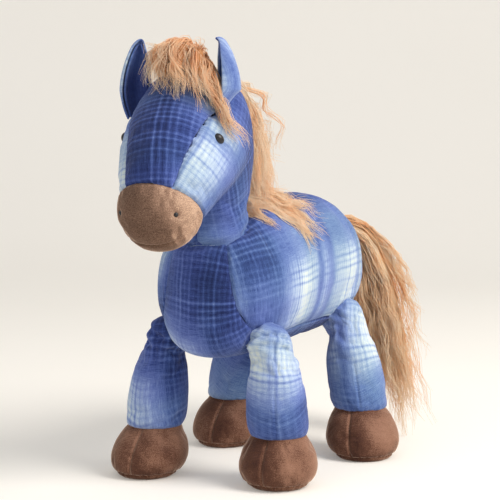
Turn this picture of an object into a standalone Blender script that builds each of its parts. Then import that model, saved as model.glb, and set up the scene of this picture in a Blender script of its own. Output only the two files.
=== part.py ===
"""A standing plush horse: plaid flannel skins sewn over fibrefill, velour muzzle and hooves,
long pile mane, forelock and tail. The horse faces -Y, its left side is +X and +Z is up."""

import math

import bmesh
import bpy
from mathutils import Matrix, Vector
from mathutils.bvhtree import BVHTree

# Cloth and clearances
SKIN = 0.0015
GAP = 0.0003
OVERRUN = 0.02
WELD = 0.000002

# Torso: a barrel lofted from the chest to the rump
TORSO_LENGTH = 0.278
TORSO_WIDTH = 0.124
TORSO_HEIGHT = 0.140
BELLY_Z = 0.117
CHEST_Y = -0.104
TORSO_SIDES = 16
TORSO_ROUNDNESS = 2.35
# Along the length from the chest, then half width, underside and top as shares of their sizes.
TORSO_STATION_SHARES = (
    (0.010, 0.35, 0.19, 0.63),
    (0.036, 0.56, 0.07, 0.77),
    (0.082, 0.75, 0.015, 0.845),
    (0.150, 0.90, 0.0, 0.89),
    (0.260, 1.0, 0.0, 0.955),
    (0.420, 1.0, 0.015, 1.0),
    (0.620, 1.0, 0.02, 1.0),
    (0.770, 0.99, 0.03, 0.965),
    (0.870, 0.91, 0.065, 0.89),
    (0.940, 0.74, 0.125, 0.77),
    (0.985, 0.44, 0.23, 0.62),
)
TORSO_POLE_SHARE = 0.42

# Chest and belly gusset: half widths from the belly up, as shares of the torso's half width and height
GUSSET_SHARES = ((0.76, -0.2), (0.78, 0.10), (0.58, 0.34), (0.46, 0.66), (0.34, 0.86))

# Neck: the ball at the foot of the head, which turns in a hollow at the top of the chest
NECK_RADIUS = 0.036
NECK_SETBACK = 0.034
NECK_LEAN = math.radians(20)
NECK_RISE_SHARE = 0.79
NECK_WAIST_SHARE = 0.32
NECK_OPEN_SHARE = 0.62
NECK_PLAY = 0.0008
NECK_FLARE = 0.0042
THREAD_RADIUS = 0.0011
THREAD_SEGMENTS = 24
THREAD_SIDES = 6
BALL_SIDES = 18

# Head: an egg from the poll to the nose, and a column that carries it
HEAD_TURN = math.radians(4)
HEAD_LENGTH = 0.169
HEAD_WIDTH = 0.099
HEAD_DEPTH = 0.113
HEAD_SLOPE = math.radians(42)
POLL_REACH = 0.003
POLL_RISE = 0.119
HEAD_SIDES = 16
# Along the egg from the poll, then half width, and throat side and brow side as shares of the depth.
HEAD_STATION_SHARES = (
    (0.025, 0.46, -0.25, 0.19),
    (0.090, 0.75, -0.39, 0.37),
    (0.200, 0.94, -0.455, 0.495),
    (0.345, 1.0, -0.44, 0.55),
    (0.490, 0.97, -0.38, 0.54),
    (0.630, 0.85, -0.33, 0.485),
    (0.760, 0.735, -0.32, 0.405),
    (0.860, 0.67, -0.29, 0.31),
    (0.930, 0.56, -0.23, 0.205),
    (0.978, 0.37, -0.155, 0.085),
)
HEAD_POLE_SHARE = -0.04
NECK_SIDES = 14
# Up the column from the ball's middle to the poll, then half width, and rear and front shares.
NECK_STATION_SHARES = (
    (0.00, 0.64, -0.27, 0.28),
    (0.08, 0.66, -0.27, 0.30),
    (0.17, 0.68, -0.23, 0.37),
    (0.30, 0.76, -0.24, 0.47),
    (0.52, 0.92, -0.17, 0.61),
    (0.76, 0.94, -0.06, 0.72),
    (0.92, 0.72, 0.07, 0.67),
)
NECK_POLE_SHARE = 0.39

# Seams of the head, along the egg and across it as shares of its sizes
MUZZLE_SEAM_SHARE = 0.835
MUZZLE_SEAM_RISE_SHARE = 0.34
MUZZLE_SEAM_TILT = math.radians(16)
MUZZLE_FOOT_SHARE = -0.46
MOUTH_SHARE = 0.96
MOUTH_RISE_SHARE = -0.075
MOUTH_TILT = math.radians(100)
BROW_BASE_SHARE = 0.08
# Along the egg from behind the poll to the nose, then the half width of the forehead gusset.
BROW_HALF_SHARES = ((-0.12, 0.80), (0.36, 0.79), (1.0, 0.335))

# Eyes: domed oval buttons on shanks, each locked by a washer behind the cloth
EYE_WIDTH = 0.0076
EYE_HEIGHT = 0.0102
EYE_DOME = 0.0030
EYE_ALONG_SHARE = 0.472
EYE_RISE_SHARE = 0.271
SHANK_RADIUS = 0.0014
SHANK_LENGTH = 0.0075
SHANK_PLAY = 0.0003
WASHER_RADIUS = 0.0055
WASHER_THICKNESS = 0.0012
WASHER_SINK = 0.0014
BUTTON_SIDES = 14
DRILL_SIDES = 10

# Nostrils: small beads
NOSTRIL_RADIUS = 0.0019
NOSTRIL_DOME = 0.0011
NOSTRIL_ALONG_SHARE = 0.806
NOSTRIL_RISE_SHARE = -0.011
NOSTRIL_TURN = math.radians(47)

# Ears: cupped leaves, a plaid outer and a dark lining
EAR_HEIGHT = 0.060
EAR_WIDTH = 0.032
EAR_LAYER = 0.0016
EAR_CUP = math.radians(120)
EAR_ROOT_CUP = math.radians(70)
EAR_LEAN = math.radians(-4)
EAR_FACING = math.radians(-24)
EAR_SETTING = math.radians(38)
EAR_SWING = math.radians(20)
EAR_ALONG_SHARE = 0.30
EAR_RISE_SHARE = 0.40
EAR_SPREAD_SHARE = 0.80
EAR_ROWS = 8
EAR_COLUMNS = 6
EAR_ROOT_SHARE = 0.80
EAR_WIDEST_SHARE = 0.34
EAR_TIP_SHARE = 0.07
EAR_POINT = 0.8

# Legs: a tapered sleeve with a domed head, on a hip well in the torso
HIP_RADIUS = 0.0205
CALF_RADIUS = 0.0262
CUFF_Z = 0.046
FRONT_HIP_RISE_SHARE = 0.09
HIND_HIP_RISE_SHARE = 0.112
FRONT_HIP_SHARE = 0.165
HIND_HIP_SHARE = 0.765
HIP_SPREAD_SHARE = 0.91
WELL_PLAY = 0.0030
WELL_END_PLAY = 0.0004
WELL_ROUNDING = 0.005
LEG_SIDES = 12
# How far down from hip to cuff, and where the radius lies between its neighbours.
LEG_STATION_SHARES = ((0.0, 0.0), (0.25, 0.18), (0.52, 0.76), (0.78, 1.0), (1.0, 0.92))
DOME_RINGS = 2
# Where each sole lies from below its own hip: outwards and backwards.
FOOT_PLACES = {
    ("front", "left"): (0.002, 0.012),
    ("front", "right"): (0.014, -0.004),
    ("hind", "left"): (0.027, -0.014),
    ("hind", "right"): (0.010, -0.022),
}

# Hooves: two velour halves and a sole round a firm plug of fill
HOOF_RADIUS = 0.0345
HOOF_TOE = 0.006
HOOF_TUCK = 0.009
SOLE_RADIUS = 0.0265
SOLE_THICKNESS = 0.0042
SOLE_EDGE_RISE = 0.0012
# Up from the sole to the cuff, and the radius between the sole's edge and the widest.
HOOF_STATION_SHARES = ((0.0, 0.40), (0.13, 0.82), (0.36, 1.0), (0.64, 0.80), (0.88, 0.34))
ANKLE_PLAY = 0.0012

# Pile: locks of long hair on the crest, the poll and the dock
PILE_STANDOFF = 0.0003
LOCK_SIDES = 8
LOCK_RINGS = 9
LOCK_END_SHARE = 0.30
LOCK_START_SHARE = 0.18
LOCK_RUN_SHARE = 0.78
LOCK_FULLNESS = 0.8
LOCK_THINNING = 0.9
MANE_THICKNESS = 0.017
MANE_WIDTH = 0.042
MANE_FLAT_SHARE = 0.9
# From the neck's middle: forwards by the head's depth, sideways by its half width, up by the poll's rise.
MANE_UPPER_SHARES = (
    ((0.36, 0.05, 1.20), (0.02, 0.30, 1.05), (-0.30, 0.62, 0.72), (-0.46, 0.80, 0.42)),
    ((0.10, 0.05, 1.04), (-0.12, 0.36, 0.82), (-0.32, 0.66, 0.50), (-0.44, 0.82, 0.22)),
    ((-0.06, 0.02, 0.76), (-0.24, 0.34, 0.56), (-0.40, 0.62, 0.30)),
)
MANE_LOWER_SHARES = (
    ((-0.30, 0.10, 0.36), (-0.52, 0.45, 0.28), (-0.86, 0.72, 0.20), (-1.16, 0.86, 0.02)),
    ((-0.30, 0.00, 0.24), (-0.50, 0.55, 0.18), (-0.78, 0.92, 0.02), (-1.02, 1.08, -0.14)),
)
FORELOCK_THICKNESS = 0.018
FORELOCK_WIDTH = 0.048
FORELOCK_ALONG_SHARE = 0.23
FORELOCK_RISE_SHARE = 0.5
SWEEP_SHARE = 0.5
# From the forelock's root: forwards and up by the head's depth, sideways by its half width.
TUFT_SHARES = ((-0.16, 0, -0.10), (-0.02, 0, 0.17), (0.16, -0.05, 0.14), (0.29, -0.08, -0.10))
SWEEP_SHARES = ((0.02, 0.30, 0.10), (0.20, 0.48, 0.02), (0.34, 0.66, -0.20), (0.36, 0.82, -0.42))
TAIL_THICKNESS = 0.030
TAIL_WIDTH = 0.044
TAIL_FLAT_SHARE = -0.4
TAIL_SWING = math.radians(20)
DOCK_ALONG_SHARE = 0.955
DOCK_RISE_SHARE = 0.72
# From the dock: sideways and backwards by the torso's half width, down by the dock's height.
TAIL_SHARES = (
    ((0.05, 0.02, 0.0), (0.38, 0.50, 0.10), (0.95, 0.62, 0.45), (1.35, 0.60, 0.88)),
    ((0.05, 0.02, 0.0), (0.60, 0.42, 0.08), (1.22, 0.50, 0.42), (1.82, 0.46, 0.92)),
    ((0.05, 0.05, 0.0), (0.50, 0.62, 0.16), (1.10, 0.74, 0.50), (1.60, 0.66, 0.90)),
)

SIDES = (("left", 1), ("right", -1))

# Colours
PLAID_BLUE = (0.13, 0.17, 0.50, 1)
PLAID_DARK = (0.07, 0.09, 0.30, 1)
PLAID_PALE = (0.45, 0.58, 0.82, 1)
SUEDE_BROWN = (0.24, 0.15, 0.11, 1)
LINING_DARK = (0.035, 0.035, 0.06, 1)
PILE_TAN = (0.62, 0.36, 0.18, 1)
FILL_WHITE = (0.85, 0.85, 0.82, 1)
BUTTON_BLACK = (0.01, 0.01, 0.012, 1)
THREAD_BLUE = (0.05, 0.07, 0.22, 1)

CLOTH_ROUGHNESS = 0.95
BUTTON_ROUGHNESS = 0.25


def clear_scene():
    for old in list(bpy.data.objects):
        bpy.data.objects.remove(old)


def finish(name, colour, roughness=CLOTH_ROUGHNESS):
    """A plain material of one colour."""
    material = bpy.data.materials.new(name)
    material.use_nodes = True
    shader = material.node_tree.nodes["Principled BSDF"]
    shader.inputs["Base Color"].default_value = colour
    shader.inputs["Roughness"].default_value = roughness
    material.diffuse_color = colour
    return material


def add_object(name, form):
    """An object from a bmesh, its normals facing out."""
    bmesh.ops.recalc_face_normals(form, faces=form.faces)
    mesh = bpy.data.meshes.new(name)
    form.to_mesh(mesh)
    form.free()
    obj = bpy.data.objects.new(name, mesh)
    bpy.context.scene.collection.objects.link(obj)
    return obj


def helper(obj):
    """Marks a cutter or a guide."""
    obj.hide_render = True
    obj.display_type = "WIRE"
    return obj


def dress(obj, colour, roughness=CLOTH_ROUGHNESS):
    obj.data.materials.clear()
    obj.data.materials.append(finish(obj.name, colour, roughness))
    obj.data.shade_smooth()
    return obj


def cut(obj, other, operation="DIFFERENCE"):
    """A Boolean of obj with another object, applied at once."""
    modifier = obj.modifiers.new("boolean", "BOOLEAN")
    modifier.operation = operation
    modifier.object = other
    # The exact solver leaves open edges where the cloth's thin skins meet, so the cut is a manifold one.
    modifier.solver = "MANIFOLD"
    bpy.context.view_layer.update()
    graph = bpy.context.evaluated_depsgraph_get()
    made = bpy.data.meshes.new_from_object(obj.evaluated_get(graph))
    obj.modifiers.clear()
    form = bmesh.new()
    form.from_mesh(made)
    bmesh.ops.remove_doubles(form, verts=form.verts, dist=WELD)
    bmesh.ops.dissolve_degenerate(form, dist=WELD, edges=form.edges)
    bmesh.ops.triangulate(form, faces=form.faces)
    form.to_mesh(made)
    form.free()
    obj.data = made
    return obj


def copy_of(obj, name):
    twin = bpy.data.objects.new(name, obj.data.copy())
    twin.matrix_world = obj.matrix_world
    bpy.context.scene.collection.objects.link(twin)
    return twin


def between(low, high, share):
    return low + (high - low) * share


def oval(centre, across, along, half_across, half_near, half_far, sides, roundness=2.0):
    """A ring of points round centre: a superellipse whose along side may be longer one way."""
    points = []
    for i in range(sides):
        turn = 2 * math.pi * i / sides
        c, s = math.cos(turn), math.sin(turn)
        x = math.copysign(abs(c) ** (2 / roundness), c) * half_across
        y = math.copysign(abs(s) ** (2 / roundness), s) * (half_far if s > 0 else half_near)
        points.append(centre + across * x + along * y)
    return points


def ring_faces(form, rings):
    for low, high in zip(rings, rings[1:]):
        for i in range(len(low)):
            j = (i + 1) % len(low)
            form.faces.new((low[i], low[j], high[j], high[i]))


def closed_loft(form, rings, first_pole=None, last_pole=None):
    """Rings of points joined into a closed body, each end a fan to its pole or a flat cap."""
    made = [[form.verts.new(p) for p in ring] for ring in rings]
    ring_faces(form, made)
    for ring, pole in ((made[0], first_pole), (made[-1], last_pole)):
        if pole is None:
            form.faces.new(ring)
            continue
        tip = form.verts.new(pole)
        for i, vert in enumerate(ring):
            form.faces.new((vert, ring[(i + 1) % len(ring)], tip))


def loft(name, rings, first_pole=None, last_pole=None):
    form = bmesh.new()
    closed_loft(form, rings, first_pole, last_pole)
    bmesh.ops.triangulate(form, faces=form.faces)
    return add_object(name, form)


def block(name, low, high):
    """A box between two corners."""
    form = bmesh.new()
    bmesh.ops.create_cube(form, size=1)
    size = Vector(high) - Vector(low)
    middle = (Vector(high) + Vector(low)) / 2
    bmesh.ops.scale(form, vec=size, verts=form.verts)
    bmesh.ops.translate(form, vec=middle, verts=form.verts)
    return helper(add_object(name, form))


def prism(name, outline, direction):
    """A flat outline swept along a direction."""
    form = bmesh.new()
    face = form.faces.new([form.verts.new(p) for p in outline])
    swept = bmesh.ops.extrude_face_region(form, geom=[face])
    moved = [v for v in swept["geom"] if isinstance(v, bmesh.types.BMVert)]
    bmesh.ops.translate(form, verts=moved, vec=direction)
    return helper(add_object(name, form))


def lathe(name, profile, centre, axis, sides):
    """A closed profile of (radius, height) points, from axis to axis, spun about an axis through centre."""
    form = bmesh.new()
    turn = Vector((0, 0, 1)).rotation_difference(axis).to_matrix()
    rings = []
    for radius, height in profile[1:-1]:
        ring = []
        for i in range(sides):
            angle = 2 * math.pi * i / sides
            point = Vector((radius * math.cos(angle), radius * math.sin(angle), height))
            ring.append(centre + turn @ point)
        rings.append(ring)
    first, last = (centre + axis * height for _, height in (profile[0], profile[-1]))
    closed_loft(form, rings, first, last)
    return add_object(name, form)


# Torso

TORSO_HALF = TORSO_WIDTH / 2
TORSO_MIDDLE_Z = BELLY_Z + TORSO_HEIGHT / 2


def torso_body(name, inset):
    """The torso's form, drawn in by inset all round, or swollen where inset is negative."""
    rings = []
    length = TORSO_LENGTH - 2 * inset
    for along, wide, low, high in TORSO_STATION_SHARES:
        y = CHEST_Y + inset + length * along
        bottom = BELLY_Z + inset + (TORSO_HEIGHT - 2 * inset) * low
        top = BELLY_Z + inset + (TORSO_HEIGHT - 2 * inset) * high
        widest = bottom + (top - bottom) * 0.45
        half = (TORSO_HALF - inset) * wide
        rings.append(
            oval(
                Vector((0, y, widest)), Vector((1, 0, 0)), Vector((0, 0, 1)),
                half, widest - bottom, top - widest, TORSO_SIDES, TORSO_ROUNDNESS,
            )
        )
    pole_z = BELLY_Z + TORSO_HEIGHT * TORSO_POLE_SHARE
    chest = Vector((0, CHEST_Y + inset, pole_z))
    rump = Vector((0, CHEST_Y + TORSO_LENGTH - inset, pole_z))
    return loft(name, rings, chest, rump)


def seam_line(spare):
    """The seam of the chest and belly gusset on the left, from below the body up, moved out by spare."""
    line = []
    for wide, high in GUSSET_SHARES:
        line.append(Vector((TORSO_HALF * wide + spare, CHEST_Y - OVERRUN, BELLY_Z + TORSO_HEIGHT * high)))
    return line


def mirrored(points):
    return [Vector((-p.x, p.y, p.z)) for p in points]


def torso_regions():
    """The parts of space that the gusset and the two sides are cut from."""
    run = Vector((0, TORSO_LENGTH + 2 * OVERRUN, 0))
    top = BELLY_Z + TORSO_HEIGHT + OVERRUN
    strip = seam_line(0)
    near = seam_line(GAP)
    peak = near[-1] + Vector((0, 0, GAP))
    reach = TORSO_WIDTH
    start = near[0]
    side = near[:-1] + [
        peak,
        Vector((GAP / 2, peak.y, peak.z)),
        Vector((GAP / 2, peak.y, top)),
        Vector((reach, peak.y, top)),
        Vector((reach, start.y, start.z)),
    ]
    return {
        "chest_belly_gusset": prism("gusset_region", strip + mirrored(strip)[::-1], run),
        "torso_side_left": prism("left_region", side, run),
        "torso_side_right": prism("right_region", mirrored(side), run),
    }


def hip_place(end, side):
    """The middle of a leg's domed head."""
    sign = 1 if side == "left" else -1
    along = FRONT_HIP_SHARE if end == "front" else HIND_HIP_SHARE
    high = FRONT_HIP_RISE_SHARE if end == "front" else HIND_HIP_RISE_SHARE
    x = sign * TORSO_HALF * HIP_SPREAD_SHARE
    return Vector((x, CHEST_Y + TORSO_LENGTH * along, BELLY_Z + TORSO_HEIGHT * high))


def hip_well(end, side):
    """The hollow that a leg's head swings in: a drum about the hip's cross axis, open to the outside."""
    hip = hip_place(end, side)
    sign = 1 if side == "left" else -1
    radius = HIP_RADIUS + WELL_PLAY
    floor = -(HIP_RADIUS + WELL_END_PLAY)
    profile = (
        (0, floor),
        (radius - WELL_ROUNDING, floor),
        (radius - WELL_ROUNDING * 0.3, floor + WELL_ROUNDING * 0.3),
        (radius, floor + WELL_ROUNDING),
        (radius, HIP_RADIUS + OVERRUN),
        (0, HIP_RADIUS + OVERRUN),
    )
    return helper(lathe(f"well_{end}_{side}", profile, hip, Vector((sign, 0, 0)), BALL_SIDES))


def neck_axis():
    return Vector((0, -math.sin(NECK_LEAN), math.cos(NECK_LEAN)))


def neck_middle():
    """The middle of the ball at the foot of the head."""
    return Vector((0, CHEST_Y + NECK_SETBACK, BELLY_Z + TORSO_HEIGHT * NECK_RISE_SHARE))


def neck_socket():
    """The hollow that the ball turns in, flared at its mouth so that the head can nod."""
    radius = NECK_RADIUS + NECK_PLAY
    waist = radius * NECK_WAIST_SHARE
    profile = [(0, -radius)]
    steps = BALL_SIDES // 2
    low = -math.pi / 2
    high = math.asin(NECK_WAIST_SHARE)
    for i in range(1, steps + 1):
        angle = between(low, high, i / steps)
        profile.append((radius * math.cos(angle), radius * math.sin(angle)))
    profile.append((radius + NECK_FLARE, waist + NECK_FLARE))
    profile.append((radius + 2 * NECK_FLARE, NECK_RADIUS + OVERRUN))
    profile.append((0, NECK_RADIUS + OVERRUN))
    return helper(lathe("neck_socket", profile, neck_middle(), neck_axis(), BALL_SIDES))


def panel_of(name, outside, inside, regions, dropped, colour):
    """A cloth panel: the part of a form's skin that lies in every region and in none of those dropped."""
    panel = copy_of(outside, name)
    for region in regions:
        cut(panel, region, "INTERSECT")
    for region in dropped:
        cut(panel, region)
    cut(panel, inside)
    return dress(panel, colour)


def torso_pieces():
    cutters = [hip_well(end, side) for end, side in FOOT_PLACES] + [neck_socket()]
    fill = torso_body("torso_fill", SKIN + GAP)
    for cutter in cutters:
        cut(fill, cutter)
    dress(fill, FILL_WHITE)
    outside = helper(torso_body("torso_outside", 0))
    inside = helper(torso_body("torso_inside", SKIN))
    for name, region in torso_regions().items():
        colour = PLAID_DARK if name == "chest_belly_gusset" else PLAID_BLUE
        panel_of(name, outside, inside, [region], cutters, colour)


# Head

def head_frame():
    """The turn of the head about the neck, and its own directions: forwards, up the egg and across."""
    turn = Matrix.Rotation(HEAD_TURN, 3, "Z")
    forwards = turn @ Vector((0, -1, 0))
    across = turn @ Vector((1, 0, 0))
    up = Vector((0, 0, 1))
    along = forwards * math.cos(HEAD_SLOPE) - up * math.sin(HEAD_SLOPE)
    rise = forwards * math.sin(HEAD_SLOPE) + up * math.cos(HEAD_SLOPE)
    return forwards, across, up, along, rise


def head_point(along_share, rise_share, across_share=0):
    """A place in the egg, as shares of its length, depth and half width."""
    forwards, across, up, along, rise = head_frame()
    poll = neck_middle() + forwards * POLL_REACH + up * POLL_RISE
    return (
        poll
        + along * (HEAD_LENGTH * along_share)
        + rise * (HEAD_DEPTH * rise_share)
        + across * (HEAD_WIDTH / 2 * across_share)
    )


def head_body(name, inset):
    """The head's form: the egg, the column and the ball made one, drawn in by inset."""
    forwards, across, up, along, rise = head_frame()
    shrink = inset / HEAD_LENGTH
    rings = []
    for share, wide, low, high in HEAD_STATION_SHARES:
        place = between(shrink, 1 - shrink, share)
        near = HEAD_DEPTH * -low - inset * 0.9
        far = HEAD_DEPTH * high - inset * 0.9
        middle = head_point(place, 0) + rise * ((far - near) / 2)
        deep = (near + far) / 2
        half = (HEAD_WIDTH / 2 - inset) * wide
        rings.append(oval(middle, across, rise, half, deep, deep, HEAD_SIDES))
    egg = loft(name, rings, head_point(shrink, HEAD_POLE_SHARE), head_point(1 - shrink, HEAD_POLE_SHARE))

    rings = []
    tall = POLL_RISE + HEAD_DEPTH * 0.23
    for share, wide, back, front in NECK_STATION_SHARES:
        level = neck_middle() + up * ((tall - inset) * share)
        near = HEAD_DEPTH * -back - inset
        far = HEAD_DEPTH * front - inset
        middle = level + forwards * ((far - near) / 2)
        deep = (near + far) / 2
        rings.append(oval(middle, across, forwards, HEAD_WIDTH / 2 * wide - inset, deep, deep, NECK_SIDES))
    foot = rings[0]
    top = neck_middle() + up * (tall - inset) + forwards * (HEAD_DEPTH * NECK_POLE_SHARE)
    column = helper(loft(f"{name}_column", rings, sum(foot, Vector()) / len(foot), top))

    radius = NECK_RADIUS - inset
    steps = BALL_SIDES // 2
    profile = []
    for i in range(steps + 1):
        angle = math.pi * i / steps
        profile.append((radius * math.sin(angle), -radius * math.cos(angle)))
    ball = helper(lathe(f"{name}_ball", profile, neck_middle(), neck_axis(), BALL_SIDES))
    cut(egg, column, "UNION")
    cut(egg, ball, "UNION")
    return egg


def slab(name, place, normal, side):
    """A large block that fills the space ahead of a plane, set square to the head."""
    span = HEAD_LENGTH + HEAD_WIDTH
    first = normal.orthogonal().normalized()
    second = normal.cross(first)
    corners = []
    for a, b in ((-1, -1), (1, -1), (1, 1), (-1, 1)):
        corners.append(place + first * (a * span) + second * (b * span))
    return prism(name, corners, normal * (span * side))


def muzzle_region(name, spare):
    """The end of the egg that the velour covers, wider by spare."""
    forwards, across, up, along, rise = head_frame()
    seam = head_point(MUZZLE_SEAM_SHARE, MUZZLE_SEAM_RISE_SHARE)
    lean = math.tan(MUZZLE_SEAM_TILT)
    outline = []
    for height, ahead in ((MUZZLE_FOOT_SHARE, 0), (MUZZLE_FOOT_SHARE, 1), (1, 1), (1, 0)):
        lift = HEAD_DEPTH * (height - MUZZLE_SEAM_RISE_SHARE) - (spare if height < 0 else 0)
        reach = lift * lean - spare + HEAD_LENGTH * ahead
        outline.append(seam + rise * lift + along * reach - across * HEAD_WIDTH)
    return prism(name, outline, across * (2 * HEAD_WIDTH))


def brow_region(name, spare):
    """The wedge over the face that the forehead gusset is cut from."""
    forwards, across, up, along, rise = head_frame()
    base = HEAD_DEPTH * BROW_BASE_SHARE - spare
    sides = []
    for sign in (1, -1):
        side = []
        for share, wide in BROW_HALF_SHARES:
            half = HEAD_WIDTH / 2 * wide + spare
            side.append(head_point(share, 0) + across * (sign * half) + rise * base)
        sides.append(side)
    return prism(name, sides[0] + sides[1][::-1], rise * HEAD_DEPTH)


def surface_spot(tree, start, direction):
    """Where a line meets the head's form, and the way out there."""
    place, normal, _, _ = tree.ray_cast(start, direction)
    return place, normal


def button(name, place, normal, upright, half_wide, half_tall, dome, shank=0):
    """A domed oval button facing along normal, with a round shank behind it."""
    across = upright.cross(normal).normalized()
    tall = normal.cross(across)
    rings = []
    for share in (0.0, 0.45, 0.80):
        size = math.sqrt(1 - share * share)
        middle = place + normal * (dome * share)
        high = half_tall * size
        rings.append(oval(middle, across, tall, half_wide * size, high, high, BUTTON_SIDES))
    if not shank:
        return loft(name, rings, None, place + normal * dome)
    stem = []
    for depth in (shank, 0):
        middle = place - normal * depth
        stem.append(oval(middle, across, tall, SHANK_RADIUS, SHANK_RADIUS, SHANK_RADIUS, BUTTON_SIDES))
    return loft(name, stem + rings, None, place + normal * dome)


def eye_spot(tree, side):
    forwards, across, up, along, rise = head_frame()
    sign = 1 if side == "left" else -1
    return surface_spot(tree, head_point(EYE_ALONG_SHARE, EYE_RISE_SHARE, sign * 2), across * -sign)


def eye_drill(tree, side):
    """The hole through the cheek and the fill for an eye's shank."""
    spot, normal = eye_spot(tree, side)
    hole = SHANK_RADIUS + SHANK_PLAY
    deep = SHANK_LENGTH + SKIN
    profile = ((0, -deep), (hole, -deep), (hole, SKIN), (0, SKIN))
    return helper(lathe(f"drill_{side}", profile, spot, normal, DRILL_SIDES))


def eye_pieces(tree, drill, fill, side):
    """A button eye through its cheek, and the washer that locks it. The fill makes room for both."""
    spot, normal = eye_spot(tree, side)
    rise = head_frame()[4]
    seat = spot + normal * GAP
    eye = button(f"eye_{side}", seat, normal, rise, EYE_WIDTH / 2, EYE_HEIGHT / 2, EYE_DOME, SHANK_LENGTH)
    dress(eye, BUTTON_BLACK, BUTTON_ROUGHNESS)
    hole = SHANK_RADIUS + SHANK_PLAY
    back = -(SKIN + WASHER_SINK + WASHER_THICKNESS)
    room = WASHER_RADIUS + GAP
    deep = SHANK_LENGTH + SKIN
    pocket_profile = (
        (0, -deep),
        (hole, -deep),
        (hole, back - GAP),
        (room, back - GAP),
        (room, SKIN),
        (0, SKIN),
    )
    cut(fill, helper(lathe(f"pocket_{side}", pocket_profile, spot, normal, DRILL_SIDES)))
    front = back + WASHER_THICKNESS
    washer_profile = ((0, back), (WASHER_RADIUS, back), (WASHER_RADIUS, front), (0, front))
    washer = lathe(f"eye_washer_{side}", washer_profile, spot, normal, DRILL_SIDES)
    cut(washer, drill)
    dress(washer, FILL_WHITE, BUTTON_ROUGHNESS)


def nostril(tree, side):
    forwards, across, up, along, rise = head_frame()
    sign = 1 if side == "left" else -1
    start = head_point(NOSTRIL_ALONG_SHARE, NOSTRIL_RISE_SHARE)
    out = (forwards * math.cos(NOSTRIL_TURN) + across * (sign * math.sin(NOSTRIL_TURN))).normalized()
    spot, normal = surface_spot(tree, start + out * HEAD_LENGTH, -out)
    seat = spot + normal * GAP
    bead = button(f"nostril_{side}", seat, normal, rise, NOSTRIL_RADIUS, NOSTRIL_RADIUS, NOSTRIL_DOME)
    dress(bead, BUTTON_BLACK, BUTTON_ROUGHNESS)


def head_pieces():
    outside = helper(head_body("head_outside", 0))
    inside = helper(head_body("head_inside", SKIN))
    fill = head_body("head_fill", SKIN + GAP)
    forwards, across, up, along, rise = head_frame()

    # The skin is open at the foot of the ball, where the fill shows through to the torso.
    mouth = neck_middle() - neck_axis() * (NECK_RADIUS * NECK_OPEN_SHARE)
    opening = lathe(
        "neck_opening",
        ((0, -NECK_RADIUS), (NECK_RADIUS, -NECK_RADIUS), (NECK_RADIUS, 0), (0, 0)),
        mouth, neck_axis(), BALL_SIDES,
    )
    helper(opening)

    muzzle = muzzle_region("muzzle", 0)
    muzzle_wider = muzzle_region("muzzle_wider", GAP)
    lips = head_point(MOUTH_SHARE, MOUTH_RISE_SHARE)
    chin_way = (along * math.cos(MOUTH_TILT) - rise * math.sin(MOUTH_TILT)).normalized()
    chin_part = slab("chin_part", lips, chin_way, 1)
    lip_part = slab("lip_part", lips - chin_way * GAP, chin_way, -1)
    brow = brow_region("brow", 0)
    brow_wider = brow_region("brow_wider", GAP)
    halves = {}
    for side, sign in SIDES:
        halves[side] = slab(f"{side}_part", neck_middle() + across * (sign * GAP / 2), across, sign)

    bpy.context.view_layer.update()
    tree = BVHTree.FromObject(outside, bpy.context.evaluated_depsgraph_get())
    panel_of("muzzle_top", outside, inside, [muzzle, lip_part], [], SUEDE_BROWN)
    panel_of("muzzle_chin", outside, inside, [muzzle, chin_part], [], SUEDE_BROWN)
    panel_of("forehead_gusset", outside, inside, [brow], [muzzle_wider], PLAID_DARK)
    for side, sign in SIDES:
        drill = eye_drill(tree, side)
        dropped = [brow_wider, muzzle_wider, opening, drill]
        panel_of(f"cheek_{side}", outside, inside, [halves[side]], dropped, PLAID_PALE)
        eye_pieces(tree, drill, fill, side)
        nostril(tree, side)
    dress(fill, FILL_WHITE)
    head_clear = helper(head_body("head_clear", -PILE_STANDOFF))
    for side, sign in SIDES:
        ear(tree, side, head_clear)
    return head_clear


def ear_frame(tree, side):
    """The ear's root on the head, the line it folds about, the way it faces and the way it grows."""
    forwards, across, up, along, rise = head_frame()
    sign = 1 if side == "left" else -1
    start = head_point(EAR_ALONG_SHARE, EAR_RISE_SHARE, sign * EAR_SPREAD_SHARE) + up * HEAD_DEPTH
    spot, _ = surface_spot(tree, start, -up)
    facing = Matrix.Rotation(sign * EAR_FACING, 3, up) @ forwards
    outwards = facing.cross(up) * -sign
    fold = (outwards * math.cos(EAR_SETTING) - up * math.sin(EAR_SETTING)).normalized()
    stem = (up * math.cos(EAR_LEAN) + outwards * math.sin(EAR_LEAN)).normalized()
    return spot, fold, facing, stem, outwards


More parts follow.
